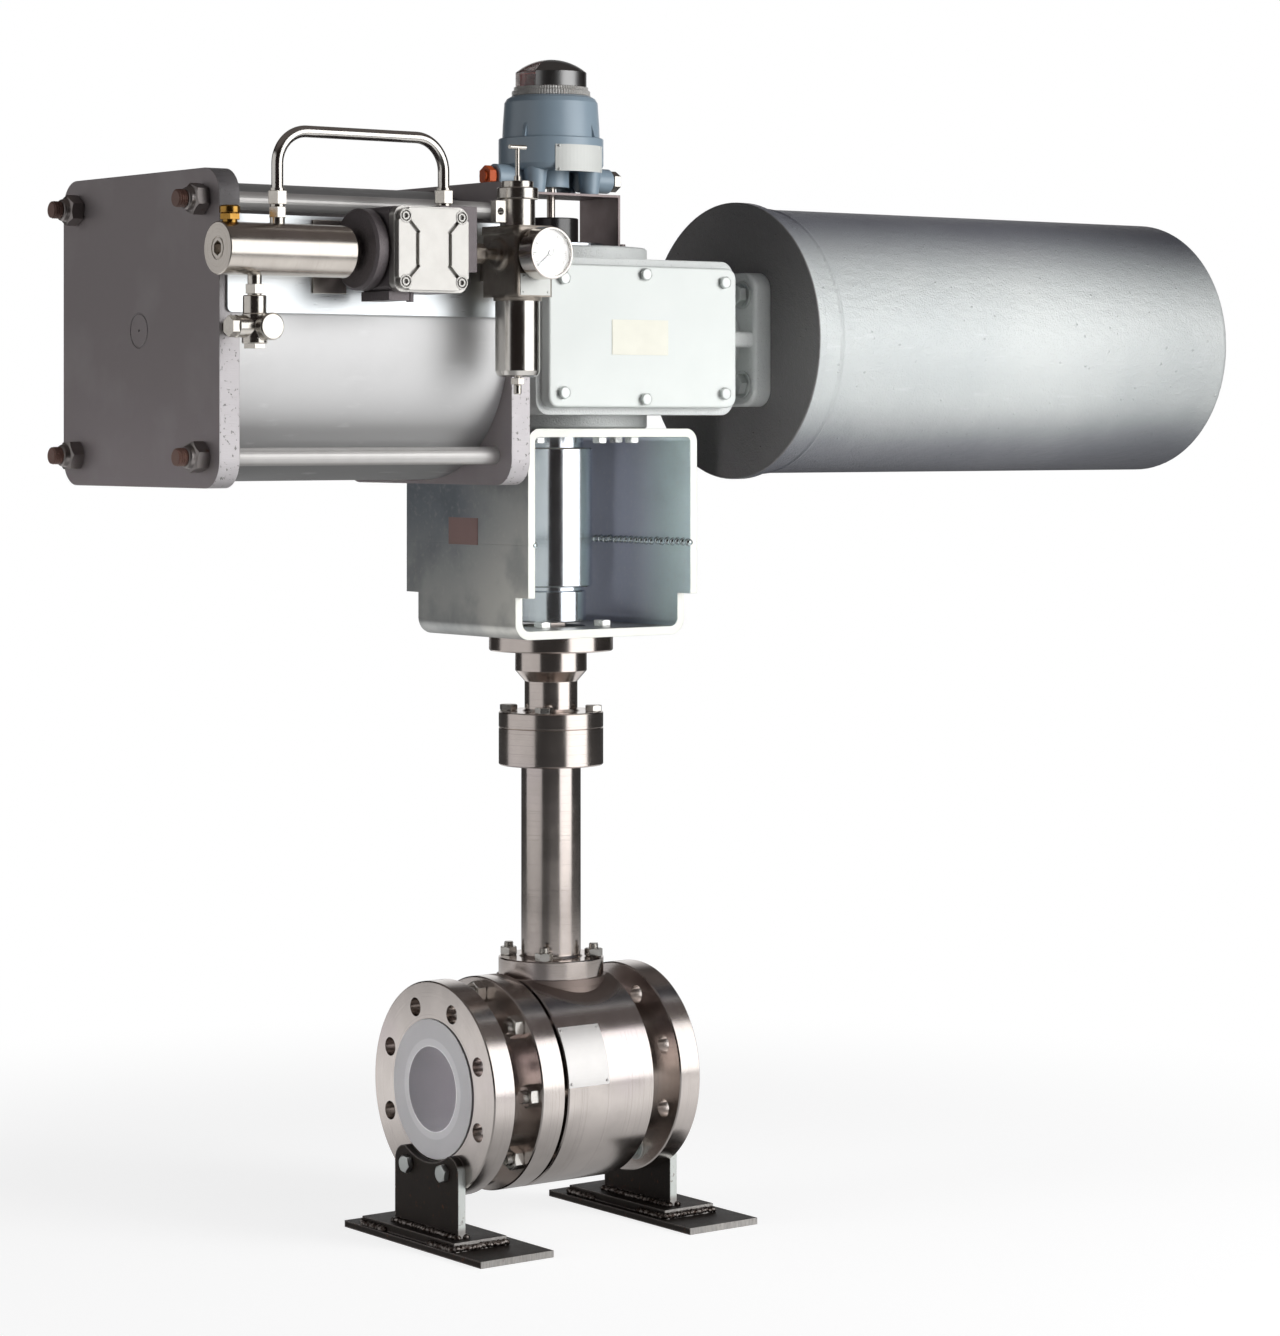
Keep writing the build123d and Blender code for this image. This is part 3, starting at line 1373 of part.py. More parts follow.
def air_tube():
    """Loop of bent tube from the spool valve to the port block."""
    left_z = manifold_z + manifold_d / 4
    right_z = solenoid_z + solenoid_h / 2 - loop_seat
    path = FilletPolyline((-loop_left, 0, left_z), (-loop_left, 0, loop_top),
                          (-loop_right, 0, loop_top), (-loop_right, 0, right_z), radius=loop_bend)
    section = Plane(path @ 0, z_dir=path % 0) * Circle(air_tube_d / 2)
    return Pos(0, -control_y, 0) * sweep(section, path=path)


def fitting(low_z, hex_z):
    """Compression fitting about Z: a body hexagon low down and a nut above it."""
    body_top = hex_z - fitting_gap
    nut_top = hex_z + fitting_nut_l
    collar_top = nut_top + fitting_collar_l
    shape = puck(fitting_d, low_z, hex_z)
    shape += hex_prism(fitting_body_af, body_top - fitting_body_l, body_top)
    shape += hex_prism(nut_af, hex_z, nut_top)
    shape += puck(fitting_d, nut_top, collar_top)
    return shape - puck(air_tube_d + tube_gap, low_z - 1, collar_top + 1)


def manifold_cut():
    """Spool valve's round, cut from whatever is screwed into it."""
    return along_x(puck(manifold_d, -manifold_left, -manifold_right), 0, -control_y, manifold_z)


def tube_fittings():
    left_low = manifold_z + manifold_d / 2 - 2
    left = Pos(-loop_left, -control_y, 0) * fitting(left_low, left_low + left_fitting_h)
    block_top = solenoid_z + solenoid_h / 2 + port_block_rise
    right = fitting(block_top, block_top + right_fitting_h)
    right &= puck(2 * nut_af, block_top, block_top + 2 * nut_af)
    return group(left - manifold_cut(), Pos(-loop_right, -control_y, 0) * right)


def vent_plug():
    """Brass breather on top of the spool valve's outer end."""
    low = manifold_z + manifold_d / 2 - seat_depth
    cap_z = low + vent_cap_z
    shape = puck(vent_d, low, low + vent_hex_z + 1)
    shape += hex_prism(vent_hex_af, low + vent_hex_z, cap_z)
    shape += puck(vent_cap_d, cap_z, cap_z + vent_cap_h, 1.5)
    shape -= puck(vent_mouth_d, cap_z + 1, cap_z + vent_cap_h + 1)
    return Pos(-manifold_left + vent_x, -control_y, 0) * shape - manifold_cut()


def exhaust_valve():
    """Quick exhaust valve between the spool valve and the port in the outer head's edge."""
    x, y = outer_back_x + head_t / 2, -control_y
    top = manifold_z - manifold_d / 2 + seat_depth - 1
    low = axis_z - exhaust_body_h / 2 - 2
    high = low + exhaust_body_h
    nut_z = top - exhaust_top_gap
    shape = puck(exhaust_pipe_d, high, top)
    shape += hex_prism(exhaust_top_af, nut_z - exhaust_top_t, nut_z)
    shape += puck(exhaust_neck_d, high - 2, high - 2 + exhaust_neck_h, 1)
    shape += puck(exhaust_body_d, low, high, 1)
    shape += hex_prism(exhaust_end_af, low - exhaust_end_t + 1, low + 1)
    shape = Pos(x, y, 0) * shape
    front_y = y + seat_depth + 1 - exhaust_front_l
    shape += along_y(puck(exhaust_front_d, front_y, y + seat_depth + 1, 1.5), x + exhaust_front_x, 0, axis_z)
    shape += along_x(puck(exhaust_side_d, x - exhaust_side_l, x, 1), 0, y, axis_z)
    side_x = x - exhaust_side_l + 1
    shape += along_x(hex_prism(exhaust_side_af, side_x - exhaust_side_t, side_x), 0, y, axis_z)
    shape += along_y(puck(exhaust_stub_d, y, plate_y + exhaust_stub_depth - 1), x, 0, axis_z)
    return shape - manifold_cut()


# Position indicator

def switch_bracket():
    """Bent bracket over the hub cap, with its feet turned outwards."""
    t = switch_plate_t
    x = switch_leg_x + t
    low, high = hub_top_z, switch_plate_z
    half = switch_leg_w / 2
    shape = box(-x, x, -half, half, high - t, high)
    for side in (-1, 1):
        x0, x1 = sorted((side * (x - t), side * x))
        shape += box(x0, x1, -half, half, low, high)
        x0, x1 = sorted((side * (x - t), side * (x + switch_foot_l)))
        shape += box(x0, x1, -half, half, low, low + t)
        for y in (switch_screw_inset - half, half - switch_screw_inset):
            screw = puck(switch_screw_d, 0, switch_screw_h)
            shape += Pos(side * (x + switch_foot_l / 2), y, low + t) * screw
    return shape - puck(switch_hole_d, high - t - 1, high + 1)


def indicator_shaft():
    """Black coupling on the yoke's spindle with the shaft that drives the indicator."""
    low = cap_top_z + 0.5
    spindle = indicator_hub_d / 2 + 2 * running_gap
    shape = puck(indicator_hub_d, low, low + indicator_hub_h, 1)
    shape += puck(indicator_shaft_d, low + indicator_hub_h - 1, rotor_z + rotor_floor)
    return shape - puck(spindle, low - 1, cap_top_z + spindle_rise + running_gap)


def switch_base():
    """Round housing base with tapered legs and two cable entry bosses."""
    z0, z1 = switch_base_z, switch_top_z
    r, c = switch_base_d / 2, base_corner
    shape = lathe((0, z0 + 3), (r - c, z0), (r - 3, z0 + 2), (r, z0 + c), (r, z1 - 1), (r - 1, z1), (0, z1))
    leg = lathe((0, switch_plate_z), (base_leg_foot_d / 2, switch_plate_z),
                (base_leg_top_d / 2, z0 + leg_joint), (0, z0 + leg_joint))
    for x in (-base_leg_x, base_leg_x):
        for y in (-base_leg_y, base_leg_y):
            shape += Pos(x, y, 0) * leg
    shape += puck(base_hub_d, switch_plate_z + base_hub_z, z0 + leg_joint)
    for side in (-1, 1):
        entry = puck(entry_d, base_leg_x, r + entry_reach, 1.5)
        shape += Pos(0, 0, entry_z) * Rot(0, 90 * side, 0) * entry
    shape -= puck(switch_base_d - 4 * switch_wall, z0 + base_floor, z1 + 1)
    return shape - puck(indicator_shaft_d + 2 * running_gap, switch_plate_z, z0 + base_floor + 1)


def switch_cover():
    """Tapered cover with pointed ribs down its side."""
    z0 = switch_top_z
    z1 = z0 + switch_cover_h
    r0, r1 = switch_cover_d / 2, switch_cover_top_d / 2
    shape = lathe((0, z0), (r0, z0), (r0 - 0.5, z0 + 14), (r1, z1 - 8), (r1 - 3, z1 - 3),
                  (r1 - 8, z1), (0, z1))
    web = Polyline((r1 - 2, 0, z0), (r0 + cover_rib_out, 0, z0), (r1 - 2, 0, z0 + cover_rib_h), close=True)
    rib = extrude(make_face(web), cover_rib_w / 2, both=True)
    step = 360 / cover_rib_count
    for i in range(cover_rib_count):
        shape += Rot(0, 0, step * (i + 0.25)) * rib
    w = switch_wall
    shape -= lathe((0, z0 - 1), (r0 - w - 2, z0 - 1), (r0 - w - 2, z0), (r1 - w, z1 - 10),
                   (r1 - w - 6, z1 - w), (0, z1 - w))
    return shape - puck(dome_d - 2 * dome_wall - 4, z1 - w - 1, z1 + 1)


def dome_shell(r, side, rise, z):
    """Solid of a dome with a straight side and a shallow rounded top."""
    curve_r = (r * r + rise * rise) / (2 * rise)
    top = z + side + rise
    profile = Polyline((0, 0, top), (0, 0, z), (r, 0, z), (r, 0, z + side))
    middle_z = top - curve_r + sqrt(curve_r ** 2 - r * r / 4)
    crown = ThreePointArc((r, 0, z + side), (r / 2, 0, middle_z), (0, 0, top))
    return revolve(make_face(profile.edges() + crown.edges()), axis=Axis.Z)


def indicator_dome():
    """Clear dome moulded in one with the knurled skirt that clamps it to the cover."""
    r, w = dome_d / 2, dome_wall
    z = dome_z
    shape = dome_shell(r, dome_side, dome_rise, z)
    shape += puck(clear_ring_d, skirt_z, z - clear_step_h, 1)
    shape += puck(clear_step_d, z - clear_step_h - 1, z)
    shape -= puck(2 * (r - w), skirt_z - 1, z)
    return shape - dome_shell(r - w, dome_side, dome_rise - w, z - 1)


def indicator_rotor():
    """Coloured drum with two open quarters, turned by the shaft."""
    r = dome_d / 2 - dome_wall - rotor_gap
    z = rotor_z
    top = dome_z + dome_side - rotor_floor
    low_in, high_in = z + rotor_floor, top - rotor_floor
    core = puck(2 * (r - rotor_wall), low_in, high_in)
    quarters = box(0, r + 1, 0, r + 1, low_in, high_in) + box(-r - 1, 0, -r - 1, 0, low_in, high_in)
    shape = puck(2 * r, z, top) - core - quarters
    shape += puck(indicator_shaft_d + 2 * rotor_wall, z + 1, top - 1)
    return shape - puck(indicator_shaft_d + 2 * running_gap, z - 1, z + rotor_floor + 1)


def cable_plugs():
    """Plugs that close the two cable entries."""
    start = switch_base_d / 2 + entry_reach
    hex_start = start + plug_collar_t
    tip = hex_start + plug_hex_t
    plug = puck(plug_collar_d, start, hex_start, 1) + hex_prism(plug_af, hex_start, tip)
    plug += puck(plug_tip_d, tip, tip + plug_tip_t)
    place = Pos(0, 0, entry_z)
    return group(place * Rot(0, -90, 0) * plug, place * Rot(0, 90, 0) * plug)


pieces = {
    "valve_body": valve_body,
    "inlet_adapter": inlet_adapter,
    "body_gasket": body_gasket,
    "body_studs": body_studs,
    "port_liners": port_liners,
    "seat_rings": seat_rings,
    "ball": ball,
    "stem": stem,
    "stem_packing": stem_packing,
    "extension_bonnet": extension_bonnet,
    "bonnet_fasteners": bonnet_fasteners,
    "top_adapter": top_adapter,
    "feet": feet,
    "foot_bolts": foot_bolts,
    "bracket_upper": bracket_upper,
    "bracket_lower": bracket_lower,
    "bracket_bolts": bracket_bolts,
    "drive_coupling": drive_coupling,
    "outer_head": outer_head,
    "inner_head": inner_head,
    "cylinder_tube": cylinder_tube,
    "tie_rods": tie_rods,
    "piston": piston,
    "piston_seal": piston_seal,
    "piston_rod": piston_rod,
    "yoke_housing": yoke_housing,
    "housing_cover": housing_cover,
    "cover_screws": cover_screws,
    "flange_bolts": flange_bolts,
    "hub_cap": hub_cap,
    "scotch_yoke": scotch_yoke,
    "guide_block": guide_block,
    "yoke_pin": yoke_pin,
    "bronze_bushes": bronze_bushes,
    "spring_can": spring_can,
    "spring_plate": spring_plate,
    "return_spring": return_spring,
    "control_plate": control_plate,
    "spool_valve": spool_valve,
    "solenoid_housing": solenoid_housing,
    "solenoid_cover": solenoid_cover,
    "regulator_body": regulator_body,
    "regulator_bonnet": regulator_bonnet,
    "regulator_screw": regulator_screw,
    "filter_bowl": filter_bowl,
    "drain_valve": drain_valve,
    "gauge_case": gauge_case,
    "gauge_pointer": gauge_pointer,
    "gauge_lens": gauge_lens,
    "air_tube": air_tube,
    "tube_fittings": tube_fittings,
    "vent_plug": vent_plug,
    "exhaust_valve": exhaust_valve,
    "switch_bracket": switch_bracket,
    "indicator_shaft": indicator_shaft,
    "switch_base": switch_base,
    "switch_cover": switch_cover,
    "indicator_rotor": indicator_rotor,
    "indicator_dome": indicator_dome,
    "cable_plugs": cable_plugs,
}

os.makedirs("parts", exist_ok=True)
for name, make in pieces.items():
    export_step(Pos(inlet_to_stem, 0, 0) * make(), f"parts/{name}.step")
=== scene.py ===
import math
import random

import bmesh
import bpy
from mathutils import Euler, Matrix, Vector


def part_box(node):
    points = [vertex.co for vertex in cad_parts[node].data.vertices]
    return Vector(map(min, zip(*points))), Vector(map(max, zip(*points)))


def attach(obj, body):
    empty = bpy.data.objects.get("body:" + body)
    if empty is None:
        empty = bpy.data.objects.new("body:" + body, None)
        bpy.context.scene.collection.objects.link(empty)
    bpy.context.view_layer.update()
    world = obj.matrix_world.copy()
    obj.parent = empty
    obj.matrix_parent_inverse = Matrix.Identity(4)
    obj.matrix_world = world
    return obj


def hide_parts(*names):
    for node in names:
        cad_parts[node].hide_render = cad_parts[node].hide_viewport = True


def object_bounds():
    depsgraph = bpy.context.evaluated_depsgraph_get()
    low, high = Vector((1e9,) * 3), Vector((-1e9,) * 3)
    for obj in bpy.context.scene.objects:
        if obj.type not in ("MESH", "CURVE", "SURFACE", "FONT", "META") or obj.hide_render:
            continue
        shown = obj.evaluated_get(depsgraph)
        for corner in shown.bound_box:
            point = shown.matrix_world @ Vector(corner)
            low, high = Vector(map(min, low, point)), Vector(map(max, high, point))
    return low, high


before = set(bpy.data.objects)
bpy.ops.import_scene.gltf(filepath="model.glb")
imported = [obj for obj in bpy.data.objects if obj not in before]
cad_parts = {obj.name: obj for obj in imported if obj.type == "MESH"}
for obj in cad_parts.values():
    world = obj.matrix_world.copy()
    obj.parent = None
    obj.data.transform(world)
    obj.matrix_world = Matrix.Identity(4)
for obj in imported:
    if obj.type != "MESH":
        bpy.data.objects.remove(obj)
cad_box = [list(corner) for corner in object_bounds()]


# Studio: a level camera before a plain white floor and backdrop. A bright soft box stands to the
# camera's right and a dimmer one to its left, and the room between and above them is dark, which
# gives the turned metal its bands.
class Value:
    """One output of a shader tree, used in ordinary arithmetic."""

    def __init__(self, shader, socket):
        self.shader = shader
        self.socket = socket

    def __add__(self, other):
        return self.shader.math("ADD", self, other)

    def __radd__(self, other):
        return self.shader.math("ADD", other, self)

    def __sub__(self, other):
        return self.shader.math("SUBTRACT", self, other)

    def __rsub__(self, other):
        return self.shader.math("SUBTRACT", other, self)

    def __mul__(self, other):
        return self.shader.math("MULTIPLY", self, other)

    def __rmul__(self, other):
        return self.shader.math("MULTIPLY", other, self)

    def __truediv__(self, other):
        return self.shader.math("DIVIDE", self, other)

    def __pow__(self, other):
        return self.shader.math("POWER", self, other)

    def __abs__(self):
        return self.shader.math("ABSOLUTE", self)

    def rise(self, low, high):
        """0 below low, 1 above high, and smooth between; low may be the larger."""
        limits = {"Value": self, "From Min": low, "From Max": high}
        return self.shader.node("ShaderNodeMapRange", {"interpolation_type": "SMOOTHSTEP"}, limits)


class Shader:
    """Builds the nodes of one material, or of the world."""

    def __init__(self, tree):
        self.tree = tree
        tree.nodes.clear()

    def node(self, kind, settings=None, inputs=None, output=0):
        """Adds a node, with its settings and then its sockets, and gives one of its outputs."""
        made = self.tree.nodes.new(kind)
        for key, value in (settings or {}).items():
            setattr(made, key, value)
        for key, value in (inputs or {}).items():
            socket = made.inputs[key]
            if isinstance(value, Value):
                self.tree.links.new(value.socket, socket)
            elif socket.type == "RGBA":
                socket.default_value = (*value, 1.0)
            else:
                socket.default_value = value
        return Value(self, made.outputs[output]) if len(made.outputs) else None

    def outputs(self, kind, inputs=None):
        """Adds a node and gives all its outputs by name."""
        made = self.node(kind, inputs=inputs).socket.node
        return {socket.name: Value(self, socket) for socket in made.outputs}

    def math(self, operation, *values):
        return self.node("ShaderNodeMath", {"operation": operation}, dict(enumerate(values)))

    def split(self, vector):
        parts = self.outputs("ShaderNodeSeparateXYZ", {0: vector})
        return parts["X"], parts["Y"], parts["Z"]

    def blend(self, share, first, second):
        """Colour between first, at share 0, and second, at share 1."""
        return self.node("ShaderNodeMix", {"data_type": "RGBA"}, {0: share, 6: first, 7: second}, 2)


def srgb(red, green, blue):
    """Linear colour of a colour named on the 0 to 255 screen scale."""
    scaled = [channel / 255 for channel in (red, green, blue)]
    return tuple(c / 12.92 if c <= 0.04045 else ((c + 0.055) / 1.055) ** 2.4 for c in scaled)


view_turn = math.radians(37.083)
camera_place = Vector((-2.512, -3.731, 0.784))
picture_h = 1336
focal_px = 3797.97
horizon_above_middle = 241.91
camera_data = bpy.data.cameras.new("camera")
camera_data.sensor_width = 36.0
camera_data.lens = focal_px / picture_h * camera_data.sensor_width
camera_data.shift_y = -horizon_above_middle / picture_h
camera = bpy.data.objects.new("camera", camera_data)
camera.location = camera_place
camera.rotation_euler = (math.radians(90), 0, -view_turn)
bpy.context.collection.objects.link(camera)
bpy.context.scene.camera = camera
bpy.context.scene.view_settings.view_transform = "Standard"

stem_x = sum(corner.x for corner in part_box("stem")) / 2
studio_middle = Vector((stem_x + 0.15, 0, 0.62))


def soft_box(name, bearing, height, distance, wide, tall, radiance, glossy=True, spread=180,
             aim=studio_middle):
    """Area lamp on a stand, at a bearing in degrees from +X, turned to face a point of the object."""
    data = bpy.data.lights.new(name, "AREA")
    data.shape = "RECTANGLE"
    data.size = wide
    data.size_y = tall
    data.energy = radiance * math.pi * wide * tall
    data.spread = math.radians(spread)
    lamp = bpy.data.objects.new(name, data)
    turn = math.radians(bearing)
    offset = Vector((math.cos(turn) * distance, math.sin(turn) * distance, height))
    lamp.location = studio_middle + offset
    lamp.rotation_euler = (aim - lamp.location).to_track_quat("-Z", "Y").to_euler()
    lamp.visible_camera = False
    lamp.visible_glossy = glossy
    bpy.context.collection.objects.link(lamp)


soft_box("right_soft_box", bearing=-67.5, height=0.25, distance=3.2, wide=3.2, tall=3.8, radiance=2.1)
soft_box("left_soft_box", bearing=163, height=0.25, distance=3.2, wide=4.6, tall=3.0, radiance=0.66)
soft_box("key_lamp", bearing=-66, height=0.75, distance=3.4, wide=1.2, tall=1.2, radiance=14,
         glossy=False)
soft_box("low_lamp", bearing=172, height=-0.52, distance=1.9, wide=1.0, tall=0.8, radiance=0.62,
         glossy=False, spread=32, aim=Vector((stem_x - 0.2, 0, 0)))
soft_box("bracket_lamp", bearing=-142, height=-0.3, distance=3.0, wide=1.2, tall=0.3, radiance=0.34,
         glossy=False, spread=8, aim=Vector((stem_x + 0.1, -0.05, 0.69)))

stage_white = (1.0, 1.0, 1.0)
room_dark = srgb(34, 28, 26)
ceiling = srgb(98, 92, 90)
room_fill = srgb(66, 66, 70)
world = bpy.data.worlds.new("studio")
world.use_nodes = True
bpy.context.scene.world = world
sky = Shader(world.node_tree)
ray = sky.outputs("ShaderNodeLightPath")
heading = sky.split(sky.node("ShaderNodeTexCoord", output="Generated"))
away = heading[0] * math.sin(view_turn) + heading[1] * math.cos(view_turn)
backdrop = away.rise(0.82, 1.0)
overhead = sky.blend(heading[2].rise(0.45, 0.75), room_dark, ceiling)
room = sky.blend(ray["Is Glossy Ray"], room_fill, sky.blend(backdrop, overhead, stage_white))
seen = sky.math("MAXIMUM", ray["Is Camera Ray"], ray["Is Transmission Ray"])
glow = sky.node("ShaderNodeBackground", inputs={"Color": sky.blend(seen, room, stage_white)})
sky.node("ShaderNodeOutputWorld", inputs={0: glow})


def reach_of(first, second):
    """Distance from an axis, from two offsets that are square to it and to each other."""
    return (first ** 2 + second ** 2) ** 0.5


floor_z = cad_box[0][2]
floor_half = 12.0
shadow_near = 0.7
shadow_far = 1.7
paper_grey = (0.3, 0.3, 0.3)
paper_lift = 0.8
mirror_near = 1.2
mirror_far = 3.2
floor_mesh = bpy.data.meshes.new("floor")
floor_mesh.from_pydata([(-floor_half, -floor_half, floor_z), (floor_half, -floor_half, floor_z),
                        (floor_half, floor_half, floor_z), (-floor_half, floor_half, floor_z)],
                       [], [(0, 1, 2, 3)])
floor = bpy.data.objects.new("floor", floor_mesh)
bpy.context.collection.objects.link(floor)
floor_finish = bpy.data.materials.new("floor_paper")
floor_finish.use_nodes = True
paper = Shader(floor_finish.node_tree)
spot = paper.split(paper.node("ShaderNodeTexCoord", output="Object"))
beside = spot[0] - stem_x
reach = reach_of(beside, spot[1])
path = paper.outputs("ShaderNodeLightPath")
plain = paper.node("ShaderNodeEmission", inputs={"Color": stage_white})
lit = paper.node("ShaderNodeBsdfDiffuse", inputs={"Color": paper_grey})
lift = paper.node("ShaderNodeEmission", inputs={"Color": stage_white, "Strength": paper_lift})
# Seen by bounce light the floor is a darker grey. Seen in reflections it glows near the object, brightest
# toward the right soft box and behind on the left: painted reflections.
toward_box = (beside * 0.65 - spot[1] * 0.76).rise(0.0, 0.55)
behind_left = (spot[1] * 0.8 - beside * 0.6).rise(0.5, 1.1)
painted_reflection_glow = 0.06 + reach.rise(mirror_far, mirror_near) * (0.3 + toward_box * 0.7 + behind_left * 0.7)
painted_reflection = paper.node("ShaderNodeEmission", inputs={"Color": stage_white, "Strength": painted_reflection_glow})
shaded = paper.node("ShaderNodeAddShader", inputs={0: lit, 1: lift})
unseen = paper.node("ShaderNodeMixShader", inputs={0: path["Is Glossy Ray"], 1: lit, 2: painted_reflection})
far = reach.rise(shadow_near, shadow_far)
camera_view = paper.node("ShaderNodeMixShader", inputs={0: far, 1: shaded, 2: plain})
both = paper.node("ShaderNodeMixShader", inputs={0: path["Is Camera Ray"], 1: unseen, 2: camera_view})
paper.node("ShaderNodeOutputMaterial", inputs={0: both})
floor_mesh.materials.append(floor_finish)


# Valve body and inlet adapter: two turned stainless steel forgings, bolted face to face. The lathe
# leaves fine rings round the bore's axis, and handling leaves faint stains and scratches.
class Finish(Shader):
    """A material whose pattern follows the piece's own place in the frame."""

    def __init__(self, name):
        self.material = bpy.data.materials.new(name)
        self.material.use_nodes = True
        super().__init__(self.material.node_tree)
        self.place = self.node("ShaderNodeTexCoord", output="Object")
        self.x, self.y, self.z = self.split(self.place)

    def noise(self, scale, detail=3.0, stretch=(1, 1, 1)):
        """Cloudy value about 0.5, with this many waves to the metre."""
        place = self.node("ShaderNodeVectorMath", {"operation": "MULTIPLY"}, {0: self.place, 1: stretch})
        return self.node("ShaderNodeTexNoise", inputs={"Vector": place, "Scale": scale, "Detail": detail})

    def pits(self, scale, size):
        """Scattered small dents, 1 at the middle of each."""
        cells = self.node("ShaderNodeTexVoronoi", inputs={"Vector": self.place, "Scale": scale})
        return cells.rise(size, 0.0)

    def edges(self, radius, gain=8.0):
        """1 on the corners of the solid and 0 on its flats."""
        rounded = self.node("ShaderNodeBevel", {"samples": 6}, {"Radius": radius})
        flat = self.node("ShaderNodeNewGeometry", output="Normal")
        along = self.node("ShaderNodeVectorMath", {"operation": "DOT_PRODUCT"}, {0: rounded, 1: flat},
                          "Value")
        return ((1 - along) * gain).rise(0.0, 1.0)

    def rings(self, along, radius, pitch=0.0009):
        """Fine irregular lathe lines on the sides and faces of a turned piece."""
        track = (along + radius) / pitch
        return self.node("ShaderNodeTexNoise", {"noise_dimensions": "1D"},
                         {"W": track, "Scale": 1.0, "Detail": 2.0})

    def shade(self, color, rough, metal=0.0, relief=None, depth=0.0003, soften=0.0006, extra=None):
        """A principled shader with softened edges and relief."""
        shading = {"Base Color": color, "Roughness": rough, "Metallic": metal}
        rounded = self.node("ShaderNodeBevel", {"samples": 4}, {"Radius": soften}) if soften else None
        if relief is not None:
            bump = {"Height": relief, "Distance": depth}
            if rounded:
                bump["Normal"] = rounded
            shading["Normal"] = self.node("ShaderNodeBump", inputs=bump)
        elif rounded:
            shading["Normal"] = rounded
        shading.update(extra or {})
        return self.node("ShaderNodeBsdfPrincipled", inputs=shading)

    def finish(self, shader):
        self.node("ShaderNodeOutputMaterial", inputs={0: shader})
        return self.material

    def surface(self, *values, **more):
        """The whole material as one principled surface."""
        return self.finish(self.shade(*values, **more))


def dress(material, *nodes):
    """Gives CAD nodes their finish."""
    for name in nodes:
        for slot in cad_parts[name].material_slots:
            slot.material = material


def toned(tint, share):
    """A colour at a share of its strength: darker below 1, and lighter above it, up to white."""
    return tuple(min(1.0, channel * share) for channel in tint)


def turned_steel(name, axis, axis_y=0.0, axis_z=0.0, tint=srgb(214, 206, 201), rough=0.15, cast_neck=False):
    """Stainless steel turned about a line along X through (y, z), or about the stem."""
    steel = Finish(name)
    if axis == "x":
        along = steel.x
        radius = reach_of(steel.y - axis_y, steel.z - axis_z)
    else:
        along = steel.z
        radius = reach_of(steel.x - stem_x, steel.y)
    lines = steel.rings(along, radius)
    stain = steel.noise(22, 5.0)
    smear = steel.noise(130, 2.0, (1, 1, 0.25))
    wash = steel.noise(7, 3.0)
    color = steel.blend(stain.rise(0.3, 0.75), toned(tint, 0.86), tint)
    color = steel.blend(wash.rise(0.5, 0.75) * 0.5, color, srgb(204, 192, 196))
    color = steel.blend(lines.rise(0.62, 0.8) * 0.35, color, srgb(120, 104, 100))
    shine = rough + lines * 0.06 + (stain - 0.5) * 0.14 + smear * 0.05
    if cast_neck:
        from_stem = reach_of(steel.x - stem_x, steel.y)
        neck = steel.z.rise(0.088, 0.096) * from_stem.rise(0.088, 0.080)
        color = steel.blend(neck * 0.75, color, srgb(118, 100, 92))
        shine = shine + neck * 0.3
    return steel.surface(color, shine, 1.0, lines, 0.000014)


bore_steel = turned_steel("turned_steel_bore", "x", cast_neck=True)
dress(bore_steel, "valve_body", "inlet_adapter")


# Body gasket: dark graphite between the two forgings, seen as a narrow brown line in the groove.
graphite = Finish("graphite_gasket")
flake = graphite.noise(900)
flake_color = graphite.blend(flake, srgb(112, 92, 80), srgb(152, 128, 114))
dress(graphite.surface(flake_color, 0.6, 0.0, flake, 0.0001), "body_gasket")


# Port liners and seats: white PTFE, moulded and then faced in a lathe, with a soft waxy sheen. At rest the
# ball's smooth face closes the bore behind them, and looks a little greyer; its colour is painted lighter
# than the liners' to stand in for light that the shaded bore keeps from it.
ptfe = Finish("white_ptfe")
face_r = reach_of(ptfe.y, ptfe.z)
face_lines = ptfe.rings(ptfe.x, face_r, 0.0012)
cloud = ptfe.noise(30)
lip = face_r.rise(0.0600, 0.0585)
liner_white = ptfe.blend(cloud, srgb(172, 170, 172), srgb(184, 182, 183))
liner_white = ptfe.blend(lip * 0.3, liner_white, srgb(222, 220, 222))
liner_white = ptfe.blend(face_r.rise(0.0515, 0.0505), liner_white, srgb(240, 238, 240))
dress(ptfe.surface(liner_white, 0.36 + face_lines * 0.12, 0.0, face_lines, 0.00008, 0.0012,
                   {"Subsurface Weight": 0.12, "Subsurface Radius": (0.004, 0.004, 0.004)}),
      "port_liners", "seat_rings", "stem_packing")

# Painted light: the ball's face is a lighter copy of the PTFE finish, for the shade in the bore.
ball_skin = Finish("ball_face")
ball_cloud = ball_skin.noise(35)
ball_painted_light_grey = ball_skin.blend(ball_cloud, srgb(222, 215, 223), srgb(236, 230, 236))
dress(ball_skin.surface(ball_painted_light_grey, 0.34 + ball_cloud * 0.1, 0.0, ball_cloud, 0.0001), "ball")


# Fasteners of the valve: studs with nuts in the body joint and the bonnet, bolts above, bright
# stainless steel. Heads and nuts are hexagons with coned corners, and the ends of studs show threads.
bright_tint = srgb(214, 211, 206)


def bright_steel(name, tint, rough=0.2, rust=0.0, rust_before=None, metal=1.0, relief=0.00003):
    """Bolt steel with light wear, and a film of rust where it has any."""
    steel = Finish(name)
    grain = steel.noise(420)
    patch = steel.noise(60, 4.0)
    color = steel.blend(patch, toned(tint, 0.86), tint)
    if rust:
        brown = patch.rise(0.62 - rust, 0.78 - rust)
        if rust_before is not None:
            brown = brown * steel.x.rise(rust_before + 0.004, rust_before)
        color = steel.blend(brown, color, srgb(122, 92, 82))
        metal = metal * (1 - brown * 0.7)
    return steel.surface(color, rough + grain * 0.08, metal, grain, relief, 0.0004)


bolt_bright = bright_steel("bolt_bright", bright_tint)


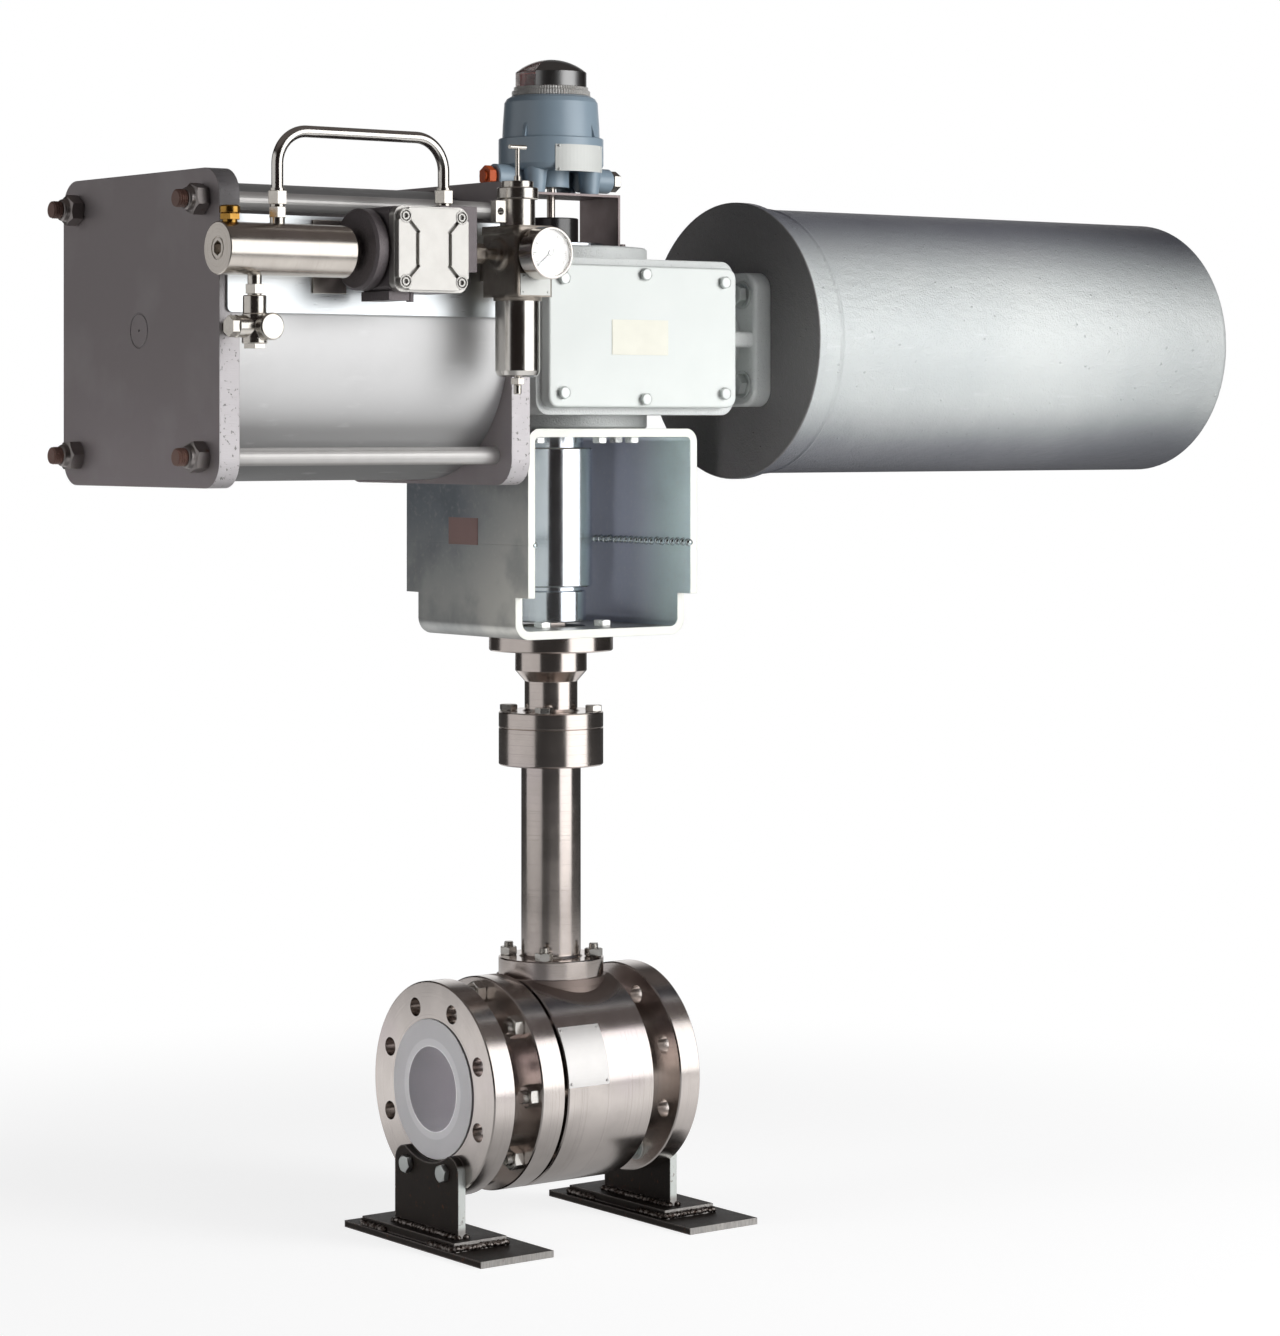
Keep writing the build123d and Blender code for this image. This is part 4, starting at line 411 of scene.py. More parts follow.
def solids(node):
    """Lowest and highest corners of each separate solid in a CAD node, in a fixed order."""
    merged = bmesh.new()
    merged.from_mesh(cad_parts[node].data)
    bmesh.ops.remove_doubles(merged, verts=merged.verts, dist=1e-6)
    merged.verts.ensure_lookup_table()
    seen = [False] * len(merged.verts)
    found = []
    for start in merged.verts:
        if seen[start.index]:
            continue
        seen[start.index] = True
        front = [start]
        low, high = start.co.copy(), start.co.copy()
        while front:
            vertex = front.pop()
            low = Vector(map(min, low, vertex.co))
            high = Vector(map(max, high, vertex.co))
            for edge in vertex.link_edges:
                other = edge.other_vert(vertex)
                if not seen[other.index]:
                    seen[other.index] = True
                    front.append(other)
        found.append((low, high))
    merged.free()
    return sorted(found, key=lambda pair: tuple(round(c, 5) for c in pair[0]))


def shell(name, rings, capped=True):
    """Mesh skinned over rings of points, each ring with as many points; a loop of rings has no caps."""
    count = len(rings[0])
    points = [point for ring in rings for point in ring]
    faces = []
    for level in range(len(rings) - 1):
        for step in range(count):
            a = level * count + step
            b = level * count + (step + 1) % count
            faces.append((a, b, b + count, a + count))
    if capped:
        faces.append(tuple(reversed(range(count))))
        faces.append(tuple(range(len(points) - count, len(points))))
    mesh = bpy.data.meshes.new(name)
    mesh.from_pydata(points, [], faces)
    return mesh


def circle(radius, z, count=48):
    """Ring of points about Z."""
    turns = [2 * math.pi * step / count for step in range(count)]
    return [(radius * math.cos(turn), radius * math.sin(turn), z) for turn in turns]


def hexagon(across, cone_from, z_edge, way, count=48):
    """Hexagon's outline where a 30 degree cone cuts its corners; way is 1 at its top, -1 below."""
    ring = []
    for step in range(count):
        turn = 2 * math.pi * step / count
        off_flat = (turn + math.pi / 6) % (math.pi / 3) - math.pi / 6
        radius = across / 2 / math.cos(off_flat)
        drop = max(0.0, radius - cone_from) * math.tan(math.radians(30))
        ring.append((radius * math.cos(turn), radius * math.sin(turn), z_edge - way * drop))
    return ring


cone_share = 0.475


def bolt_mesh(name, across, head, shank_d, length):
    """Hex bolt with its seat at z = 0, a washer face under its head and its shank downwards."""
    cone = across * cone_share
    face = head * 0.06
    rings = [circle(shank_d / 2, -length), circle(shank_d / 2, face), circle(cone, 0), circle(cone, face),
             hexagon(across, across, face, 1), hexagon(across, cone, head, 1), circle(cone * 0.96, head)]
    return shell(name, rings)


def nut_mesh(name, across, thick, bore_d):
    """Hex nut from z = 0 up, coned on both faces."""
    cone = across * cone_share
    rings = [circle(bore_d / 2, thick * 0.98), circle(bore_d / 2, 0), circle(cone, 0),
             hexagon(across, cone, 0, -1), hexagon(across, cone, thick, 1), circle(cone, thick),
             circle(bore_d / 2, thick)]
    return shell(name, rings, capped=False)


def thread_mesh(name, diameter, length, threaded, pitch):
    """Rod from z = 0 up, with a screw thread on its last stretch and a coned tip."""
    count = 24
    rows_to_pitch = 6
    depth = pitch * 0.6
    thread_from = length - threaded
    rows = max(2, round((length - thread_from) / pitch * rows_to_pitch))
    rings = [circle(diameter / 2, 0, count), circle(diameter / 2, thread_from, count)]
    for row in range(rows + 1):
        z = thread_from + (length - thread_from) * row / rows
        taper = min(1.0, max(0.0, (z - length + pitch) / pitch)) * depth
        ring = []
        for step in range(count):
            share = step / count
            phase = ((z - thread_from) / pitch - share) % 1.0
            radius = diameter / 2 - depth * abs(2 * phase - 1) - taper * 0.5
            turn = 2 * math.pi * share
            ring.append((radius * math.cos(turn), radius * math.sin(turn), z))
        rings.append(ring)
    return shell(name, rings)


def set_on_points_tree():
    """Node tree that sets one copy of a piece on each point, turned by the point's own angles."""
    tree = bpy.data.node_groups.new("set_on_points", "GeometryNodeTree")
    face = tree.interface
    face.new_socket("Points", in_out="INPUT", socket_type="NodeSocketGeometry")
    keys = {}
    for label, kind in (("Piece", "NodeSocketObject"), ("Finish", "NodeSocketMaterial")):
        keys[label] = face.new_socket(label, in_out="INPUT", socket_type=kind).identifier
    face.new_socket("Pieces", in_out="OUTPUT", socket_type="NodeSocketGeometry")
    given = tree.nodes.new("NodeGroupInput")
    piece = tree.nodes.new("GeometryNodeObjectInfo")
    angles = tree.nodes.new("GeometryNodeInputNamedAttribute")
    angles.data_type = "FLOAT_VECTOR"
    angles.inputs["Name"].default_value = "turn"
    turn = tree.nodes.new("FunctionNodeEulerToRotation")
    place = tree.nodes.new("GeometryNodeInstanceOnPoints")
    real = tree.nodes.new("GeometryNodeRealizeInstances")
    paint = tree.nodes.new("GeometryNodeSetMaterial")
    result = tree.nodes.new("NodeGroupOutput")
    for source, target in ((given.outputs["Points"], place.inputs["Points"]),
                           (given.outputs["Piece"], piece.inputs["Object"]),
                           (piece.outputs["Geometry"], place.inputs["Instance"]),
                           (angles.outputs["Attribute"], turn.inputs[0]),
                           (turn.outputs[0], place.inputs["Rotation"]),
                           (place.outputs["Instances"], real.inputs["Geometry"]),
                           (real.outputs["Geometry"], paint.inputs["Geometry"]),
                           (given.outputs["Finish"], paint.inputs["Material"]),
                           (paint.outputs["Geometry"], result.inputs["Pieces"])):
        tree.links.new(source, target)
    return tree, keys


point_tree, point_keys = set_on_points_tree()


def grown(name, points, tree, keys, values):
    """Plain mesh object that a node tree makes on a carrier of points or edges."""
    carrier = bpy.data.objects.new(name + "_carrier", points)
    bpy.context.collection.objects.link(carrier)
    modifier = carrier.modifiers.new("grow", "NODES")
    modifier.node_group = tree
    for label, value in values.items():
        modifier[keys[label]] = value
    bpy.context.view_layer.update()
    depsgraph = bpy.context.evaluated_depsgraph_get()
    mesh = bpy.data.meshes.new_from_object(carrier.evaluated_get(depsgraph))
    bpy.data.objects.remove(carrier)
    made = bpy.data.objects.new(name, mesh)
    bpy.context.collection.objects.link(made)
    return made


def set_out(name, template, places, finish, body, replaces=()):
    """One piece made of copies of a template mesh, at each place and turn."""
    source = bpy.data.objects.new(name + "_template", template)
    bpy.context.collection.objects.link(source)
    points = bpy.data.meshes.new(name + "_points")
    points.from_pydata([place for place, _ in places], [], [])
    turns = points.attributes.new("turn", "FLOAT_VECTOR", "POINT")
    turns.data.foreach_set("vector", [angle for _, turn in places for angle in turn])
    made = grown(name, points, point_tree, point_keys, {"Piece": source, "Finish": finish})
    bpy.data.objects.remove(source)
    if replaces:
        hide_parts(*replaces)
    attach(made, body)


# Turns, as Euler angles, that bring a fastener's own Z to the way that each name says.
up = (0, 0, 0)
down = (math.pi, 0, 0)
to_plus_x = (0, math.pi / 2, 0)
to_minus_x = (0, -math.pi / 2, 0)
to_minus_y = (math.pi / 2, 0, 0)


def turned_hex(turn, spin):
    """Euler angles of a piece that is first spun about its own axis and then turned."""
    return tuple((Euler(turn).to_matrix() @ Matrix.Rotation(spin, 3, "Z")).to_euler())


def centre(pair):
    """Middle of a solid, from its lowest and highest corners."""
    return (pair[0] + pair[1]) / 2


def size(pair):
    """Width of a solid along each axis, from the same two corners."""
    return pair[1] - pair[0]


def seat(pair, x=None, y=None, z=None):
    """Where a fastener is set: the middle of its solid, but for the coordinate that is given."""
    middle = centre(pair)
    return (middle.x if x is None else x, middle.y if y is None else y, middle.z if z is None else z)


def long_and_short(parts, axis="x", limit=0.03):
    """Splits solids by their length along an axis: rods and bolts first, nuts and washers second."""
    longer = [pair for pair in parts if getattr(size(pair), axis) > limit]
    shorter = [pair for pair in parts if getattr(size(pair), axis) <= limit]
    return longer, shorter


m12_across = 0.019
m16_across = 0.024
stud_end = 0.008
body_rods, body_nuts = long_and_short(solids("body_studs"))
rod_size, nut_size = size(body_rods[0]), size(body_nuts[0])
rod_d = rod_size.y
body_stud = thread_mesh("body_stud", rod_d, rod_size.x, stud_end, pitch=0.002)
body_nut = nut_mesh("body_nut", m16_across, nut_size.x, rod_d)
stud_places = [(seat(pair, x=pair[1].x), to_minus_x) for pair in body_rods]
nut_places = [(seat(pair, x=pair[0].x), turned_hex(to_plus_x, 0.45 + 0.03 * index))
              for index, pair in enumerate(body_nuts)]
set_out("body_stud_set", body_stud, stud_places, bolt_bright, "valve_frame",
        ["body_studs"])
set_out("body_nut_set", body_nut, nut_places, bolt_bright, "valve_frame")

bonnet_parts = solids("bonnet_fasteners")
adapter_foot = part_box("top_adapter")[0].z
below_adapter = [pair for pair in bonnet_parts if pair[1].z < adapter_foot]
head_bolts = [pair for pair in bonnet_parts if pair[1].z > adapter_foot]
bonnet_rods, bonnet_nuts = long_and_short(below_adapter, "z")
small_rod_d = size(bonnet_rods[0]).x
small_head = 0.0075
bonnet_stud = thread_mesh("bonnet_stud", small_rod_d, size(bonnet_rods[0]).z, stud_end, pitch=0.00175)
bonnet_nut = nut_mesh("bonnet_nut", m12_across, size(bonnet_nuts[0]).z, small_rod_d)
head_length = size(head_bolts[0]).z - small_head
head_bolt = bolt_mesh("head_bolt", m12_across, small_head, small_rod_d, head_length)
set_out("bonnet_stud_set", bonnet_stud,
        [(seat(pair, z=pair[0].z), up) for pair in bonnet_rods],
        bolt_bright, "valve_frame", ["bonnet_fasteners"])
set_out("bonnet_nut_set", bonnet_nut,
        [(seat(pair, z=pair[0].z), (0, 0, 0.5 * index))
         for index, pair in enumerate(bonnet_nuts)], bolt_bright, "valve_frame")
set_out("head_bolt_set", head_bolt,
        [(seat(pair, z=pair[1].z - small_head), (0, 0, 0.7 * index))
         for index, pair in enumerate(head_bolts)], bolt_bright, "valve_frame")


# Extension bonnet and top adapter: a tall tube between two turned flanges, which keeps the gland
# away from the process, and the neck that carries the bracket. Same steel, turned about the stem.
stem_steel = turned_steel("turned_steel_stem", "z", tint=srgb(212, 202, 196), rough=0.13)
dress(stem_steel, "extension_bonnet", "top_adapter", "stem")


# Feet: flame-cut plates with dark mill scale, ground bright where they were cut, welded into an
# inverted T for each flange. Weld beads are bare metal with a little rust beside them.
scale = Finish("mill_scale")
scale_cloud = scale.noise(45, 6.0)
scale_grain = scale.noise(700, 2.0)
scale_cut = scale.edges(0.0035, 6.0)
normal_y = scale.split(scale.node("ShaderNodeNewGeometry", output="Normal"))[1]
saw_face = abs(normal_y).rise(0.8, 0.95)
saw_marks = scale.noise(500, 2.0, (1, 1, 0.15))
scale_color = scale.blend(scale_cloud, srgb(24, 20, 17), srgb(58, 51, 47))
cut_color = scale.blend(saw_marks, srgb(150, 146, 144), srgb(214, 211, 206))
upright_edge = saw_face * scale.z.rise(-0.158, -0.150)
cut_color = scale.blend(upright_edge * 0.8, cut_color, srgb(236, 242, 238))
scale_color = scale.blend(saw_face, scale_color, cut_color)
scale_color = scale.blend(scale_cut * (1 - saw_face) * 0.7, scale_color, srgb(150, 143, 140))
rust_low = scale.noise(160, 4.0).rise(0.62, 0.75) * 0.55
scale_color = scale.blend(rust_low, scale_color, srgb(104, 62, 40))
scale_metal = 0.75 - saw_face * 0.3 - upright_edge * 0.3
dress(scale.surface(scale_color, 0.42 + scale_cloud * 0.2 + saw_face * 0.1, scale_metal,
                    scale_grain + scale_cloud, 0.0003, 0.0012), "feet")


def washer_mesh(name, radius, thick, bore_d):
    """Flat washer from z = 0 up, with its outer corners taken off."""
    corner = 0.0005
    rings = [circle(bore_d / 2, 0), circle(radius - corner, 0), circle(radius, corner),
             circle(radius, thick - corner), circle(radius - corner, thick), circle(bore_d / 2, thick)]
    return shell(name, rings, capped=False)


foot_heads, foot_nuts = long_and_short(solids("foot_bolts"))
foot_head = 0.0075
m12_d = 0.012
washer_t = 0.003
foot_bolt = bolt_mesh("foot_bolt", m12_across, foot_head, m12_d, size(foot_heads[0]).x - foot_head)
foot_nut = nut_mesh("foot_nut", m12_across, size(foot_nuts[0]).x - washer_t, m12_d)
foot_washer = washer_mesh("foot_washer", size(foot_nuts[0]).y / 2, washer_t, m12_d)
bolt_zinc = bright_steel("bolt_zinc", srgb(206, 210, 208), 0.3)
middle_x = sum(corner.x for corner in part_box("feet")) / 2
head_places, nut_places, washer_places = [], [], []
for index, pair in enumerate(foot_heads):
    inlet_side = centre(pair).x < middle_x
    seat_x = pair[0].x + foot_head if inlet_side else pair[1].x - foot_head
    turn = turned_hex(to_minus_x if inlet_side else to_plus_x, 0.35 + 0.5 * index)
    head_places.append((seat(pair, x=seat_x), turn))
for pair in foot_nuts:
    inlet_side = centre(pair).x < middle_x
    nut_x = pair[0].x + (washer_t if inlet_side else 0)
    washer_x = pair[0].x if inlet_side else pair[1].x - washer_t
    nut_places.append((seat(pair, x=nut_x), to_plus_x))
    washer_places.append((seat(pair, x=washer_x), to_plus_x))
set_out("foot_bolt_set", foot_bolt, head_places, bolt_zinc, "valve_frame",
        ["foot_bolts"])
set_out("foot_nut_set", foot_nut, nut_places, bolt_zinc, "valve_frame")
set_out("foot_washer_set", foot_washer, washer_places, bolt_zinc, "valve_frame")


# Weld beads on the feet: rows of overlapping metal ripples with a little burnt colour between.
weld_metal = Finish("weld_metal")
burnt = weld_metal.noise(260, 3.0)
spark = weld_metal.noise(900, 2.0)
weld_color = weld_metal.blend(burnt.rise(0.35, 0.6), srgb(150, 144, 140), srgb(56, 45, 40))
weld_skin = weld_metal.surface(weld_color, 0.2 + spark * 0.2, 1.0, spark, 0.0003)


def ripple_mesh(name, width, height, length):
    """Flattened bead ripple, longest across the run of the weld (X), with its run along Z."""
    mesh = bmesh.new()
    bmesh.ops.create_uvsphere(mesh, u_segments=10, v_segments=6, radius=1.0)
    bmesh.ops.scale(mesh, vec=(width / 2, height / 2, length / 2), verts=mesh.verts)
    made = bpy.data.meshes.new(name)
    mesh.to_mesh(made)
    mesh.free()
    made.shade_smooth()
    return made


def bead_run(start, end, pitch, seed):
    """Places and turns of the ripples along a straight weld, with a hand's small unevenness."""
    wander = 0.0006
    most_sway = 0.35
    start, end = Vector(start), Vector(end)
    count = max(2, round((end - start).length / pitch))
    run = (end - start).to_track_quat("Z", "Y").to_euler()
    chance = random.Random(seed)
    places = []
    for step in range(count + 1):
        spot = start.lerp(end, step / count)
        spot += Vector([chance.uniform(-wander, wander) for axis in range(3)])
        sway = Matrix.Rotation(chance.uniform(-most_sway, most_sway), 3, "X")
        places.append((tuple(spot), tuple((run.to_matrix() @ sway).to_euler())))
    return places


foot_low, foot_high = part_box("feet")
base_t = 0.008
plate_t = 0.010
upright_half = 0.067
pad_length = 0.074
pad_front_y, pad_back_y = -0.083, 0.113
base_top_z = foot_low.z + base_t
pad_top_z = base_top_z + plate_t
inlet_pad = foot_low.x + 0.005
outlet_pad = foot_high.x - 0.020 - pad_length
flange_in = foot_heads[0][0].x + foot_head
flange_out = foot_heads[-1][1].x - foot_head
bead_out = 0.001
upright_bead_z = pad_top_z + 0.001
end_bead_z = base_top_z + 0.003
side_bead_z = base_top_z + 0.002
end_bead_half = 0.036
side_stitch = 0.046
corner_gap = 0.004
upright_pitch = 0.0026
pad_pitch = 0.0028
inlet_foot = (flange_in, flange_in + plate_t, inlet_pad)
outlet_foot = (flange_out - plate_t, flange_out, outlet_pad)
weld_places = []
for index, (upright_from, upright_to, pad_start) in enumerate((inlet_foot, outlet_foot)):
    for x in (upright_from - bead_out, upright_to + bead_out):
        weld_places += bead_run((x, -upright_half, upright_bead_z), (x, upright_half, upright_bead_z),
                                upright_pitch, seed=10 + index)
    pad_middle = pad_start + pad_length / 2
    for y in (pad_front_y - bead_out, pad_back_y + bead_out):
        weld_places += bead_run((pad_middle - end_bead_half, y, end_bead_z),
                                (pad_middle + end_bead_half, y, end_bead_z), pad_pitch, seed=20 + index)
    for x in (pad_start, pad_start + pad_length):
        for y in (pad_front_y + corner_gap, pad_back_y - side_stitch - corner_gap):
            weld_places += bead_run((x, y, side_bead_z), (x, y + side_stitch, side_bead_z), pad_pitch,
                                    seed=30 + index)
foot_ripple = ripple_mesh("foot_ripple", width=0.0095, height=0.0085, length=0.0078)
set_out("foot_weld_set", foot_ripple, weld_places, weld_skin, "valve_frame")


# Bracket: two U channels bent from 10 mm plate, zinc plated, butt welded where they meet. Plating is
# blue-grey and cloudy outside, and the cut edges are pale and smooth. Painted light: the outside is lighter
# toward the front and the bottom, and the inside is a paler, less metallic copy, lighter toward the front
# and near white on the wall that faces +X.
zinc = Finish("zinc_plate")
zinc_cloud = zinc.noise(16, 6.0)
zinc_mottle = zinc.noise(160, 4.0)
zinc_normal = zinc.split(zinc.node("ShaderNodeNewGeometry", output="Normal"))
zinc_edge = abs(zinc_normal[1]).rise(0.85, 0.97)
drawn = zinc.noise(60, 3.0, (1, 1, 0.12))
inner_side = (zinc_normal[0] * (stem_x - zinc.x)).rise(0.02, 0.05)
toward_front = zinc.y.rise(0.05, -0.13)
low_down = zinc.z.rise(0.70, 0.56)
# Painted light: outside lighter toward the front and bottom, inside lighter toward the front, and the inner
# wall facing +X near white and less metallic.
outer_painted_light_tint = zinc.blend(toward_front * 0.5 + low_down * 0.5, srgb(122, 128, 134), srgb(214, 213, 206))
inner_painted_light_tint = zinc.blend(zinc.y.rise(0.0, -0.11), srgb(160, 166, 184), srgb(236, 255, 255))
lit_wall = inner_side * zinc_normal[0].rise(0.3, 0.8)
zinc_color = zinc.blend(inner_side, outer_painted_light_tint, zinc.blend(lit_wall, inner_painted_light_tint, srgb(250, 255, 253)))
dull = zinc_cloud.rise(0.42, 0.68) * (0.4 - inner_side * 0.3)
zinc_color = zinc.blend(dull, zinc_color, srgb(96, 102, 110))
zinc_color = zinc.blend(zinc_mottle.rise(0.5, 0.8) * 0.16, zinc_color, srgb(216, 214, 206))
zinc_color = zinc.blend(zinc_edge, zinc_color, srgb(232, 233, 226))
zinc_rough = 0.24 + zinc_mottle * 0.16 + drawn * 0.06
zinc_metal = 0.92 - zinc_edge * 0.62 - inner_side * 0.55 - lit_wall * 0.35
dress(zinc.surface(zinc_color, zinc_rough, zinc_metal, zinc_mottle + drawn * 0.5, 0.00012, 0.0012),
      "bracket_upper", "bracket_lower")

bracket_parts = solids("bracket_bolts")
bracket_middle = (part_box("bracket_lower")[0].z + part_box("bracket_upper")[1].z) / 2
lower_bolts = [pair for pair in bracket_parts if centre(pair).z < bracket_middle]
upper_bolts = [pair for pair in bracket_parts if centre(pair).z >= bracket_middle]
bracket_head = 0.0075
m10_across, m10_d = 0.016, 0.010
lower_bolt = bolt_mesh("lower_bolt", m12_across, bracket_head, m12_d, size(lower_bolts[0]).z - bracket_head)
upper_bolt = bolt_mesh("upper_bolt", m10_across, bracket_head, m10_d, size(upper_bolts[0]).z - bracket_head)
# Painted light: the bracket's bolt heads get a near-white, less metallic copy of the zinc bolt finish,
# lifting them out of the bracket's shade.
painted_light_head = bright_steel("painted_light_head", srgb(244, 245, 243), 0.22, metal=0.85)
set_out("lower_bolt_set", lower_bolt,
        [(seat(pair, z=pair[1].z - bracket_head), (0, 0, 0.34 + 0.06 * index))
         for index, pair in enumerate(lower_bolts)], painted_light_head, "valve_frame",
        ["bracket_bolts"])
set_out("upper_bolt_set", upper_bolt,
        [(seat(pair, z=pair[0].z + bracket_head), turned_hex(down, 0.58 + 0.03 * index))
         for index, pair in enumerate(upper_bolts)], painted_light_head, "valve_frame")

upper_low, upper_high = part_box("bracket_upper")
seam_half_y = upper_high.y - 0.003
seam_z = upper_low.z
wall_face = (upper_high.x - upper_low.x) / 2 - 0.0102
seam_pitch = 0.0104
seam_places = []
for index, side in enumerate((-1, 1)):
    x = stem_x + side * wall_face
    seam_places += bead_run((x, -seam_half_y, seam_z), (x, seam_half_y, seam_z), seam_pitch,
                            seed=40 + index)
plated_weld = bright_steel("plated_weld", srgb(206, 216, 218), 0.12, metal=0.96)
seam_ripple = ripple_mesh("seam_ripple", width=0.0112, height=0.0104, length=0.0086)
set_out("seam_weld_set", seam_ripple, seam_places, plated_weld, "valve_frame")


# Drive coupling: a polished and plated steel spool that joins the valve's stem to the yoke.
polished = Finish("polished_coupling")
polish_r = reach_of(polished.x - stem_x, polished.y)
polish_lines = polished.rings(polished.z, polish_r, 0.0006)
polish_cloud = polished.noise(30, 4.0)
nick = polished.noise(190, 1.0, (1.5, 1.5, 0.3)).rise(0.7, 0.74)
polish_color = polished.blend(polish_cloud, srgb(222, 228, 236), srgb(240, 243, 246))
polish_color = polished.blend(nick * 0.5, polish_color, srgb(250, 250, 250))
polish_rough = 0.10 + polish_lines * 0.06 + polish_cloud * 0.06
dress(polished.surface(polish_color, polish_rough, 1.0, polish_lines, 0.00003), "drive_coupling", "hub_cap")


# Cylinder heads: thick flame-cut plates, painted satin silver grey. Their faces are smooth and their edges
# show the torch's drag lines with chips down to bare metal. Their faces are coloured a darker mauve grey and
# their edges darker toward the top: painted shade.
axis_low, axis_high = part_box("cylinder_tube")
axis_z = (axis_low.z + axis_high.z) / 2


def silver_paint(name, tint, rough, grain_depth, metal=0.35, flame_cut=False, shade_radius=0.0):
    """Satin aluminium paint over plate or tube, with faint clouds, chips on flame-cut edges, and painted
    shade where it has any: toward a tube's top and bottom, and on a plate's faces and top edges.
    """
    paint = Finish(name)
    cloud = paint.noise(9, 4.0)
    speck = paint.noise(1500, 2.0)
    rub = paint.noise(70, 3.0, (0.3, 1, 1)).rise(0.6, 0.78)
    color = paint.blend(cloud.rise(0.3, 0.7), toned(tint, 0.93), tint)
    if shade_radius:
        # Painted shade: a tube darkens away from its middle height, most toward its top and bottom.
        off_axis = abs(paint.z - axis_z) / shade_radius + (cloud - 0.5) * 0.1
        above = paint.z.rise(axis_z + shade_radius * 0.7, axis_z + shade_radius * 0.95)
        below = paint.z.rise(axis_z - shade_radius * 0.35, axis_z - shade_radius * 0.9)
        color = paint.blend(off_axis.rise(0.3, 0.95) * 0.7, color, toned(tint, 0.35))
        color = paint.blend(above * 0.5 + below * 0.35, color, toned(tint, 0.2))
    color = paint.blend(rub * 0.18, color, toned(tint, 1.25))
    relief = speck
    if flame_cut:
        side = abs(paint.split(paint.node("ShaderNodeNewGeometry", output="Normal"))[0]).rise(0.5, 0.2)
        drag = paint.noise(900, 2.0, (0.12, 1, 1))
        chip = paint.noise(240, 5.0).rise(0.62, 0.66) * side
        # Painted shade: a plate's edges darken toward its top, and its faces take a darker mauve grey.
        painted_edge_shade = side * paint.z.rise(axis_z - 0.05, axis_z + 0.12)
        color = paint.blend(painted_edge_shade, color, toned(tint, 0.32))
        painted_face_shade = (0.6 + cloud * 0.8) * (1 - side)
        color = paint.blend(painted_face_shade, color, srgb(146, 138, 139))
        color = paint.blend(chip * 0.8, color, srgb(120, 120, 116))
        relief = speck * 0.3 + drag * side * 2.0 - chip * 1.5
    return paint.surface(color, rough + speck * 0.08 - rub * 0.04, metal, relief, grain_depth, 0.0015)


head_paint = silver_paint("silver_head_paint", srgb(204, 200, 202), 0.4, 0.00016, flame_cut=True)
tube_paint = silver_paint("silver_tube_paint", srgb(233, 233, 233), 0.5, 0.00006, metal=0.5,
                          shade_radius=(axis_high.z - axis_low.z) / 2)
dress(head_paint, "outer_head", "inner_head")
dress(tube_paint, "cylinder_tube")


# Tie rods: four long rods with threaded ends, drawn tight by lock nuts with a domed nylon collar.
# Rod ends were left bare and have a brown film of rust.
long_rods, lock_nuts = long_and_short(solids("tie_rods"), limit=0.1)
tie_d = size(long_rods[0]).y
tie_length = size(long_rods[0]).x
collar_t = 0.007
lock_across = 0.030
lock_t = size(lock_nuts[0]).x - collar_t
tie_rod = thread_mesh("tie_rod", tie_d, tie_length, threaded=0.030, pitch=0.0025)
lock_cone = lock_across * cone_share
collar_r = lock_across * 0.415
collar_top = lock_t + collar_t
dome_in, dome_rise = 0.003, 0.004
dome_steps = 5
lock_rings = [circle(tie_d / 2, collar_top), circle(tie_d / 2, 0), circle(lock_cone, 0),
              hexagon(lock_across, lock_cone, 0, -1), hexagon(lock_across, lock_cone, lock_t, 1),
              circle(lock_across * 0.46, lock_t), circle(collar_r + 0.0006, lock_t + 0.0004)]
for step in range(dome_steps + 1):
    turn = math.pi / 2 * step / dome_steps
    lock_rings.append(circle(collar_r - dome_in * (1 - math.cos(turn)),
                             collar_top - dome_rise + dome_rise * math.sin(turn)))
lock_rings.append(circle(tie_d / 2, collar_top))
lock_nut = shell("lock_nut", lock_rings, capped=False)
rod_steel = bright_steel("tie_rod_steel", srgb(206, 204, 202), 0.36, rust=0.45,
                         rust_before=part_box("outer_head")[0].x, metal=0.6, relief=0.000004)
lock_steel = bright_steel("lock_nut_steel", srgb(150, 144, 142), 0.3, rust=0.02)
set_out("tie_rod_set", tie_rod,
        [(seat(pair, x=pair[1].x), to_minus_x) for pair in long_rods],
        rod_steel, "valve_frame", ["tie_rods"])
set_out("lock_nut_set", lock_nut,
        [(seat(pair, x=pair[1].x), turned_hex(to_minus_x, 0.3 + 0.4 * index))
         for index, pair in enumerate(lock_nuts)], lock_steel, "valve_frame")


# Yoke housing: an iron casting painted light grey, with a sandy skin, round hub and two flanges.
# Its cover is a smooth cast aluminium plate, held by six screws.
casting = Finish("cast_housing")
cast_cloud = casting.noise(14, 5.0)
sand = casting.noise(420, 4.0)
blow = casting.pits(240, 0.22)
cast_color = casting.blend(cast_cloud, srgb(208, 211, 210), srgb(224, 227, 225))
cast_color = casting.blend(blow * 0.35, cast_color, srgb(120, 122, 122))
dress(casting.surface(cast_color, 0.46 + sand * 0.12, 0.2, sand * 1.4 - blow * 0.4, 0.0006, 0.0025),
      "yoke_housing", "scotch_yoke")

cover_skin = Finish("pale_cover")
cover_cloud = cover_skin.noise(20, 4.0)
cover_grain = cover_skin.noise(900, 2.0)
cover_color = cover_skin.blend(cover_cloud, srgb(219, 224, 221), srgb(227, 231, 228))
dress(cover_skin.surface(cover_color, 0.34 + cover_grain * 0.08, 0.1, cover_grain, 0.00008, 0.0015),
      "housing_cover", "piston")

cover_parts = solids("cover_screws")
cover_head = 0.006
cover_length = size(cover_parts[0]).y - cover_head
m8_across, m8_d = 0.013, 0.008
cover_screw = bolt_mesh("cover_screw", m8_across, cover_head, m8_d, cover_length)
set_out("cover_screw_set", cover_screw,
        [(seat(pair, y=pair[0].y + cover_head), turned_hex(to_minus_y, 0.8 * index))
         for index, pair in enumerate(cover_parts)], bolt_zinc, "valve_frame",
        ["cover_screws"])

